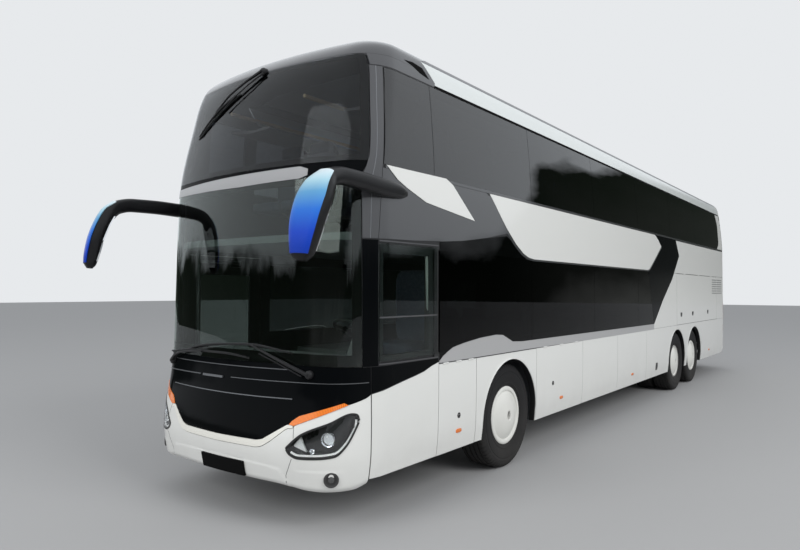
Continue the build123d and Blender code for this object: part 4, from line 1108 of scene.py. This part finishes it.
# The two doors on the right: glazed leaves in black frames with white feet, each on its own body.
for door, first, last in (("front_door", 0.56, 1.5), ("middle_door", 5.15, 6.45)):
    panel(f"{door}_foot", [strip((first + 0.008, (first + last) / 2, last - 0.008), 0.394, 0.592)],
          side_place, white_paint, door, proud=0.002, rows=4, flip=True)
    panel(f"{door}_pane", [strip((first + 0.092, (first + last) / 2, last - 0.092), 0.602, 2.048)],
          side_place, clear_material(f"{door}_pane", (0.16, 0.18, 0.175)), door, f"{door}_glass",
          proud=0.001, rows=10, flip=True)
    panel(f"{door}_seal", [ribbon([(last - 0.01, 0.4), (last - 0.01, 1.2), (last - 0.01, 2.188)], 0.014)],
          side_place, rubber, door, proud=0.004, thick=0.008, rows=2, step=0.1, flip=True)
    panel(f"{door}_rail", [ribbon([(first + 0.19, 0.8), (last - 0.19, 1.05)], 0.022)], side_place,
          satin_metal, door, proud=-0.055, thick=0.02, rows=3, step=0.05, flip=True)


# The rear: white moulded panels round a louvred engine hatch, lamp clusters at the corners and a
# black glazed band with the rear window.
REAR_REACH = 1.447
RED = (0.42, 0.012, 0.01)


def rear_panel(name, patches, material, body="coach", *stands_for, **sizes):
    """A panel of the rear."""
    return panel(name, patches, tail_place, material, body, *stands_for, step=1, **sizes)


def rear_bulge(s, z, proud=0.0):
    """The rear bumper: rounded lower edge and a step at its top."""
    roll_in = np.clip((0.43 - z) / 0.04, 0, 1) ** 2
    return tail_place(s, z, proud + 0.005 * np.clip((0.552 - z) / 0.02, 0, 1) - 0.02 * roll_in)


across_rear = np.linspace(-REAR_REACH, REAR_REACH, 60)
panel("rear_bumper", [strip(across_rear, 0.392, 0.556)], rear_bulge, white_paint, proud=0.001, step=1,
      rows=12)
for k, label in SIDES:
    for part, first, last, count, low, high in (("corner_low", 0.856, REAR_REACH, 16, 0.56, 0.896),
                                                ("beside", 0.856, 0.992, 4, 0.9, 1.6),
                                                ("side", 1.4, REAR_REACH, 4, 0.9, 1.6)):
        rear_panel(f"rear_{part}_{label}", [strip(k * np.linspace(first, last, count), low, high)],
                   white_paint)
    rear_panel(f"rear_lamp_back_{label}", [strip(k * np.linspace(1.0, 1.392, 12), 0.903, 1.597)],
               black_plastic, "coach", *(["lamps_rear"] if k > 0 else []), proud=-0.004, thick=0.03)
    for number, (low, high, colour) in enumerate(((0.915, 1.055, RED), (1.065, 1.165, (0.62, 0.62, 0.62)),
                                                  (1.175, 1.315, (0.75, 0.17, 0.01)), (1.325, 1.585, RED))):
        rear_panel(f"rear_lamp_{number}_{label}", [strip(k * np.linspace(1.012, 1.38, 12), low, high)],
                   lens_material(f"rear_lens_{number}_{label}", colour, 26), proud=0.004, thick=0.02, rows=6)
    rear_panel(f"rear_reflector_{label}", [strip(k * np.linspace(1.02, 1.16, 4), 0.455, 0.5)],
               lens_material(f"rear_reflector_{label}", RED, 60), proud=0.008, thick=0.006, rows=3)
rear_panel("rear_over_hatch", [strip(np.linspace(-0.994, 0.994, 20), 1.504, 1.6)], white_paint)
rear_panel("rear_upper", [strip(across_rear, 1.606, 2.838)], white_paint, rows=16)
beside_pane = np.linspace(0.833, REAR_REACH, 14)
rear_panel("rear_glass_band", [strip(across_rear, WINDOW_FOOT, 2.897), strip(across_rear, 3.563, 3.657),
                               strip(-beside_pane, 2.897, 3.563), strip(beside_pane, 2.897, 3.563)],
           black_gloss, rows=6)
rear_panel("rear_pane", [strip(np.linspace(-0.828, 0.828, 20), 2.902, 3.558)], upper_glass, "coach",
           "window_rear", proud=0.001, rows=10)
rear_panel("rear_brow", [strip(across_rear, 3.661, 3.862)], white_paint, rows=8)
rear_panel("rear_stop_lamp", [strip(np.linspace(-0.22, 0.22, 6), 3.69, 3.715)],
           lens_material("rear_stop_lamp", RED, 60), proud=0.007, thick=0.006, rows=2)
rear_panel("rear_plate", [strip(np.linspace(-0.26, 0.26, 6), 0.418, 0.528)], black_plastic, proud=0.008,
           thick=0.004, rows=2)
hatch_run, beside_louvres = np.linspace(-0.842, 0.842, 30), np.linspace(0.7, 0.842, 5)
rear_panel("hatch_skin", [strip(hatch_run, 0.568, 0.7), strip(hatch_run, 1.262, 1.492),
                          strip(-beside_louvres, 0.7, 1.262), strip(beside_louvres, 0.7, 1.262)],
           white_paint, "engine_hatch", rows=6)
louvre_run = np.linspace(-0.698, 0.698, 24)
rear_panel("hatch_louvres", [strip(louvre_run, 0.704 + 0.04 * n, 0.731 + 0.04 * n) for n in range(14)],
           black_plastic, "engine_hatch", proud=0.004, thick=0.006, rows=3)
for k, label in SIDES:
    turned(f"hatch_lock_{label}", LOCK, *place_and_way(tail_place, k * 0.77, 0.63), dark_metal,
           "engine_hatch", turns=20)


# The wheels: rubber tyres with grooved treads and notched shoulders, and white domed steel covers
# clipped over the rims, with an oval recess at the hub whose floor is a dark disc: the dark hub and painted
# shade of the hole.
tyre_rubber = finish("tyre_rubber", (0.009, 0.009, 0.01), 0.75, dusty=0.12, dust_top=1.2, scale=90,
                     relief=0.3, shine=0.3)
wheel_white = finish("wheel_white", (0.7, 0.7, 0.66), 0.35, coat=0.2, dusty=0.25, relief=0.05)
hub_dark_and_painted_shade = finish("hub_dark_and_painted_shade", (0.02, 0.02, 0.02), 0.6, dusty=0.2, relief=0.2)
TREAD = ((0.286, 0.118), (0.298, 0.13), (0.306, 0.133), (0.33, 0.143), (0.333, 0.147), (0.345, 0.148),
         (0.348, 0.146), (0.38, 0.153), (0.42, 0.1575), (0.44, 0.1575), (0.444, 0.1545), (0.46, 0.1545),
         (0.464, 0.1565), (0.49, 0.153), (0.508, 0.147), (0.522, 0.14), (0.531, 0.131), (0.537, 0.117),
         (0.538, 0.092), (0.525, 0.09), (0.525, 0.08), (0.538, 0.078), (0.538, 0.034), (0.525, 0.032),
         (0.525, 0.022), (0.538, 0.02), (0.538, 0.0))


def tyre_mesh(name, x, y):
    """A tyre whose profile is turned about X, with notches cut 7 mm deep across both shoulders."""
    half = np.array(TREAD)
    profile = np.concatenate((half, (half * (1, -1))[-2::-1]))
    pitch, notch = 66, np.array((0, 0.02, 0.3, 0.32))
    angle = np.append(((np.arange(pitch)[:, None] + notch) / pitch).reshape(-1), 1.0) * 2 * np.pi
    cut = np.append(np.tile((0, 1, 1, 0), pitch), 0)
    radius, offset = profile[:, 0][:, None], profile[:, 1][:, None]
    shoulder = (radius > 0.5) & (np.abs(offset) > 0.095)
    r = radius - 0.008 * cut[None, :] * shoulder
    points = np.stack((x + offset + 0 * r, y + SHIFT + r * np.sin(angle), TYRE_R + r * np.cos(angle)),
                      axis=-1)
    return grid_mesh(name, np.concatenate((points, points[:1])), 0.5, over=True)


COVER = ((0.25, 0.11), (0.302, 0.112), (0.304, 0.124), (0.3, 0.137), (0.29, 0.144), (0.276, 0.146),
         (0.262, 0.142), (0.254, 0.132), (0.248, 0.13), (0.238, 0.136), (0.215, 0.148), (0.185, 0.16),
         (0.15, 0.17), (0.115, 0.177), (0.085, 0.181), (0.062, 0.183), (0.048, 0.183), (0.04, 0.178),
         (0.037, 0.165), (0.037, 0.145), (0.0, 0.145), (0.0, 0.12), (0.25, 0.11))


def cover_mesh(name, x, y, way):
    """A domed cover turned about X; its middle rings are drawn out by a sixth into an oval."""
    r, h = np.array(COVER)[:, 0][:, None], np.array(COVER)[:, 1][:, None]
    angle = np.linspace(0, 2 * np.pi, 97)
    oval = 0.17 * np.clip((0.085 - r) / 0.04, 0, 1)
    points = np.stack((x + way * (h + 0 * angle), y + SHIFT + r * (1 - oval) * np.sin(angle),
                       TYRE_R + r * (1 + oval) * np.cos(angle)), axis=-1)
    return grid_mesh(name, points, 0.5, over=way < 0)


# Wheels as name, X, axle, body, node stood for and how deep the cover lies, if it has one.
for k, label in SIDES:
    for wheel, x, station, body, nodes_in, sink in (
            ("front", 1.07, AXLES[0], f"wheel_front_{label}", (f"tyre_front_{label}",), 0.0),
            ("drive", 1.092, AXLES[1], f"wheels_drive_{label}", (f"tyres_drive_{label}",), 0.02),
            ("drive_inner", 0.748, AXLES[1], f"wheels_drive_{label}", (), None),
            ("tag", 1.07, AXLES[2], f"wheel_tag_{label}", (f"tyre_tag_{label}",), 0.0)):
        dress(tyre_mesh(f"tread_{wheel}_{label}", k * x, station), tyre_rubber, body, *nodes_in)
        if sink is not None:
            dress(cover_mesh(f"cover_{wheel}_{label}", k * (x - sink), station, k), wheel_white, body)
            # A dark disc on the recess floor: the hub's dark colour and painted shade of the hole.
            turned(f"hub_hole_{wheel}_{label}", [(0, -0.002), (0.044, -0.002), (0.044, 0.001), (0, 0.001)],
                   (k * (x - sink + 0.1455), station + SHIFT, TYRE_R), (k, 0, 0), hub_dark_and_painted_shade, body, turns=24)


# The mirrors: moulded horns bolted beside the upper windscreen. A dark arm runs forward and turns
# down into the head; a glossy blue cover wraps the head's front, deep blue below and paler upward, with a
# painted highlight of the sky in white along its top.
def horn(name, points, sides, widths, depths, arc=(0.0, 2 * np.pi), lift=0.0, shell=None):
    """A superellipse carried along a smooth line in the way of a horn.

    Widths lie along the side vectors and depths square to them; a shell keeps only the section's arc.
    """
    line, way, t = smooth_line(points, 12)
    line = line + (0, SHIFT, 0)
    knots = np.arange(len(points))
    side = np.stack([np.interp(t, knots, np.asarray(sides, float)[:, i]) for i in range(3)], -1)
    side -= (side * way).sum(axis=1)[:, None] * way
    side /= np.linalg.norm(side, axis=1)[:, None]
    deep = np.cross(way, side)
    u, v = superellipse(np.linspace(*arc, 29), 3.0)
    w, d = (smooth(t, knots, sizes)[:, None, None] / 2 for sizes in (widths, depths))

    def rings(extra):
        """The section's rings, swollen by an extra width."""
        broad, far = (w + extra) * u[:, None], (d + extra) * v[:, None]
        return line[:, None] + broad * side[:, None] + far * deep[:, None]

    if shell:
        return plate(name, [rings(lift)], [rings(lift - shell)], 0.8)
    return closed_bar(name, line, rings(lift), 0.8)


mirror_dark = finish("mirror_dark", (0.007, 0.007, 0.008), 0.35, dusty=0.0, relief=0.15, shine=0.3)
# The cover's colour runs by height from deep blue below to light blue; the white at its top is a painted
# highlight.
mirror_cover_with_painted_highlight, tree, shader = new_material("mirror_cover_with_painted_highlight", Roughness=0.3, Specular_IOR_Level=0.25)
height = node(tree, "ShaderNodeSeparateXYZ", (object_place(tree), 0))
share = node(tree, "ShaderNodeMapRange", (height.outputs["Z"], "Value"), From_Min=2.03, From_Max=2.72)
fade = ramp(tree, share.outputs[0], (0, (0.004, 0.03, 0.3)), (0.28, (0.006, 0.05, 0.45)),
            (0.5, (0.02, 0.14, 0.55)), (0.68, (0.1, 0.3, 0.52)), (0.8, (0.33, 0.53, 0.62)),
            (1, (0.72, 0.74, 0.75)))
tree.links.new(fade, shader.inputs["Base Color"])
mirror_glass = finish("mirror_glass", (0.8, 0.82, 0.84), 0.03, metal=1.0, dusty=0.0, relief=0.0)
HEAD_X = 1.374
for (k, label), turn_by in zip(SIDES, (10.7, -23.5)):
    yaw_side = np.array((np.cos(np.radians(turn_by)), np.sin(np.radians(turn_by)), 0))
    along_x = np.array((1.0, 0, 0))
    line = np.array([(1.268, 0.9, 2.64), (1.28, 0.78, 2.643), (1.3, 0.56, 2.645), (1.33, 0.25, 2.655),
                     (1.358, 0.02, 2.652), (1.371, -0.13, 2.618), (HEAD_X, -0.215, 2.545),
                     (HEAD_X, -0.275, 2.44), (HEAD_X, -0.33, 2.3), (HEAD_X, -0.36, 2.17),
                     (HEAD_X, -0.378, 2.075), (HEAD_X, -0.382, 2.037)]) * (k, 1, 1)
    sides = [along_x] * 4 + [0.8 * along_x + 0.2 * yaw_side, 0.4 * along_x + 0.6 * yaw_side] + [yaw_side] * 6
    widths = (0.035, 0.08, 0.105, 0.112, 0.118, 0.15, 0.222, 0.258, 0.24, 0.196, 0.152, 0.08)
    depths = (0.05, 0.115, 0.135, 0.132, 0.128, 0.13, 0.134, 0.134, 0.13, 0.122, 0.1, 0.05)
    dress(horn(f"mirror_horn_{label}", line, sides, widths, depths), mirror_dark, "coach",
          *(["mirrors"] if k > 0 else []))
    dress(horn(f"mirror_cover_with_painted_highlight_{label}", line[5:11], sides[5:11], widths[5:11], depths[5:11],
               (np.pi * 0.2, np.pi * 0.82), lift=0.008, shell=0.009), mirror_cover_with_painted_highlight)
    back_way = np.cross((0, 0, 1), yaw_side)
    for part, low, high in (("main", 2.29, 2.52), ("wide", 2.1, 2.265)):
        z = np.linspace(low, high, 8)[:, None]
        run = np.linspace(-0.5, 0.5, 9)[None, :]
        wide, deep, station = (np.interp(z, line[:4:-1, 2], np.asarray(values)[:4:-1])
                               for values in (widths, depths, line[:, 1]))
        spot = (np.array((HEAD_X * k, SHIFT, 0)) + 0.84 * (run * wide)[..., None] * yaw_side
                + (0.5 * deep + 0.001 + 0.004 * (1 - 4 * run ** 2))[..., None] * back_way)
        spot = spot + np.stack((0 * (z + run), station + 0 * run, z + 0 * run), -1)
        dress(plate(f"mirror_glass_{part}_{label}", [spot], [spot - 0.012 * back_way]), mirror_glass)


# Inside: foam cushions and backs in woven cloth on steel stands, the driver's seat and the luggage
# racks with wooden edges. They show through the glass.
cloth, tree, shader = new_material("seat_cloth", Roughness=0.9)
where = object_place(tree)
weave = node(tree, "ShaderNodeTexVoronoi", (where, "Vector"), Scale=42.0)
threads = ramp(tree, weave.outputs["Distance"], (0, (0.035, 0.045, 0.075)), (1, (0.075, 0.085, 0.12)))
tree.links.new(threads, shader.inputs["Base Color"])
fuzz = node(tree, "ShaderNodeTexNoise", (where, "Vector"), Scale=350.0)
knit = node(tree, "ShaderNodeBump", (fuzz.outputs["Fac"], "Height"), Strength=0.3, Distance=0.001)
tree.links.new(knit.outputs["Normal"], shader.inputs["Normal"])


def cushion_points(centre, size, crown, seams=()):
    """A stuffed block: a cube mapped to a superellipsoid, crowned on its two broad faces, with sewn grooves.

    Each face's grid (u, v, 1) is pushed out to |x|^p + |y|^p + |z|^p = 1 with p = 7.
    """
    n = 8
    u, v = np.meshgrid(np.linspace(-1, 1, n + 1), np.linspace(-1, 1, n + 1), indexing="ij")
    faces = []
    for axis in range(3):
        for sign in (-1, 1):
            grid = np.zeros((n + 1, n + 1, 3))
            grid[..., axis] = sign
            grid[..., (axis + 1) % 3], grid[..., (axis + 2) % 3] = (u, v) if sign > 0 else (v, u)
            faces.append(grid)
    cube = np.stack(faces)
    ball = cube / (np.abs(cube) ** 7).sum(axis=-1, keepdims=True) ** (1 / 7)
    thin = int(np.argmin(size))
    wide = [i for i in range(3) if i != thin]
    swell = (1 - ball[..., wide[0]] ** 2) * (1 - ball[..., wide[1]] ** 2)
    groove = sum(np.exp(-((ball[..., wide[0]] - a) / 0.06) ** 2) for a in seams) if seams else 0
    ball[..., thin] *= 1 + crown * swell - 0.12 * groove * (np.abs(ball[..., thin]) > 0.5)
    return np.array(centre) + ball * np.array(size) / 2


def stuffed(name, blocks, *stands_for):
    """Many cushions as one soft piece."""
    piece = dress(grid_mesh(name, np.concatenate(blocks), 1.2), cloth, "coach", *stands_for)


PITCH = 0.83
LOW_ROWS = [(0.74, 4.0 + PITCH * n) for n in range(6)] + [(-0.74, 3.95), (-0.74, 4.75)]
HIGH_ROWS = [(x, 1.5 + PITCH * n) for n in range(14) for x in (0.705, -0.705)
             if not (x < 0 and 6.75 < 1.5 + PITCH * n < 8.8)]
QUILT = (-0.55, 0.55)
LEG = np.array(((0.0, 0.0), (0.1, 0.0), (0.1, 0.012), (0.035, 0.03), (0.032, 0.3), (0.12, 0.372),
                (0.0, 0.372)))
seat_steel = finish("seat_steel", (0.05, 0.05, 0.055), 0.45, metal=0.6, dusty=0.0, relief=0.1)
for deck, rows, floor_z in (("lower", LOW_ROWS, 0.43), ("upper", HIGH_ROWS, 2.3)):
    cushions, backs, heads, shells, legs = [], [], [], [], []
    for x, station in rows:
        y = station + SHIFT
        for seat_x in (x - 0.225, x + 0.225):
            cushions.append(cushion_points((seat_x, y - 0.01, floor_z + 0.435), (0.425, 0.44, 0.11),
                                           0.16, QUILT))
            backs.append(cushion_points((seat_x, y + 0.2, floor_z + 0.755), (0.415, 0.1, 0.56), 0.25, QUILT))
            heads.append(cushion_points((seat_x, y + 0.205, floor_z + 1.09), (0.3, 0.085, 0.13), 0.15))
            shells.append(cushion_points((seat_x, y + 0.248, floor_z + 0.79), (0.405, 0.044, 0.66), 0.0))
        angle = np.linspace(0, 2 * np.pi, 17)
        r, h = LEG[:, 0][:, None], LEG[:, 1][:, None]
        legs.append(np.stack((x + r * np.cos(angle), y + r * np.sin(angle), floor_z + 0.002 + h + 0 * angle),
                             -1))
    if deck == "lower":
        cushions.append(cushion_points((0.65, 1.69 + SHIFT, 1.29), (0.5, 0.45, 0.12), 0.16, QUILT))
        backs.append(cushion_points((0.65, 1.92 + SHIFT, 1.69), (0.48, 0.11, 0.72), 0.25, QUILT))
    stuffed(f"seat_cushions_{deck}", cushions, f"seats_{deck}")
    stuffed(f"seat_backs_{deck}", backs)
    stuffed(f"seat_heads_{deck}", heads)
    dress(grid_mesh(f"seat_shells_{deck}", np.concatenate(shells), 1.2), black_plastic)
    dress(grid_mesh(f"seat_legs_{deck}", np.stack(legs), over=True), seat_steel)

wood, tree, shader = new_material("rack_wood", Roughness=0.35)
rings_of = node(tree, "ShaderNodeTexWave", (object_place(tree), "Vector"), Scale=6.0, Distortion=8.0,
                Detail=3.0)
tones = ramp(tree, rings_of.outputs["Fac"], (0, (0.8, 0.52, 0.24)), (1, (0.95, 0.7, 0.38)))
tree.links.new(tones, shader.inputs["Base Color"])
carpet = finish("floor_cloth", (0.13, 0.14, 0.145), 0.95, dusty=0.0, scale=600, relief=0.6)
RACK_END = 13.2


def run_along(name, profile, first, material, flip):
    """A closed (across, height) outline drawn along the coach from a station to the racks' end."""
    profile = np.asarray(profile, float) * (-1 if flip else 1, 1)
    loop = np.concatenate((profile, profile[:1]))
    stations = np.linspace(first, RACK_END, 16)[:, None]
    x, z = loop[:, 0][None, :], loop[:, 1][None, :]
    points = np.stack((x + 0 * stations, stations + SHIFT + 0 * x, z + 0 * stations), -1)
    middle = points.mean(axis=1, keepdims=True) + 0 * points
    points = np.concatenate((middle[:1], points, middle[-1:]))
    dress(grid_mesh(name, points, over=flip), material)


RACK = ((0.5, 3.47), (0.8, 3.455), (1.12, 3.5), (1.1, 3.525), (0.8, 3.48), (0.5, 3.495))
RACK_EDGE = ((0.468, 3.487), (0.5, 3.485), (0.5, 3.512), (0.488, 3.518), (0.468, 3.512))
for k, label in SIDES:
    run_along(f"rack_{label}", RACK, 0.98, pale_trim, k < 0)
    run_along(f"rack_edge_{label}", RACK_EDGE, 0.5, wood, k < 0)

# The CAD pieces that stay in sight: structure in black, floors in cloth, running gear in dark
# cast and painted metal, doors' frames in gloss black.
structure = finish("structure", (0.012, 0.012, 0.013), 0.35, dusty=0.05, relief=0.1)
dash_plastic = finish("dash_plastic", (0.1, 0.1, 0.105), 0.6, dusty=0.0, scale=400, relief=0.4)
wheel_leather = finish("wheel_leather", (0.015, 0.015, 0.015), 0.5, dusty=0.0, scale=500, relief=0.4)
frame_paint = finish("frame_paint", (0.03, 0.03, 0.03), 0.6, dusty=0.5, dust_top=1.3, relief=0.3)
cast_iron = finish("cast_iron", (0.06, 0.055, 0.05), 0.7, metal=0.4, dusty=0.5, dust_top=1.3, scale=120,
                   relief=0.6)
arm_paint = finish("arm_paint", (0.1, 0.1, 0.105), 0.35, metal=0.5, dusty=0.0, relief=0.1)
rim_paint = finish("rim_paint", (0.35, 0.35, 0.34), 0.5, metal=0.3, dusty=0.4, relief=0.1)
for material, names in (
        (structure, ("wall_left", "wall_right", "wall_rear", "front_door", "middle_door", "engine_hatch")),
        (white_paint, ("luggage_flap_left", "luggage_flap_right", "service_flap_front",
                       "service_flap_middle")),
        (carpet, ("deck_lower", "deck_upper")),
        (dash_plastic, ("dashboard",)),
        (wheel_leather, ("steering_wheel",)),
        (frame_paint, ("chassis_frame",)),
        (cast_iron, ("axles", "engine", "knuckle_left", "knuckle_right")),
        (arm_paint, ("front_door_arms", "middle_door_arms")),
        (rim_paint, ("rim_front_left", "rim_front_right", "rims_drive_left", "rims_drive_right",
                     "rim_tag_left", "rim_tag_right"))):
    for name in names:
        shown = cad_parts[name]
        shown.data.materials.clear()
        shown.data.materials.append(material)
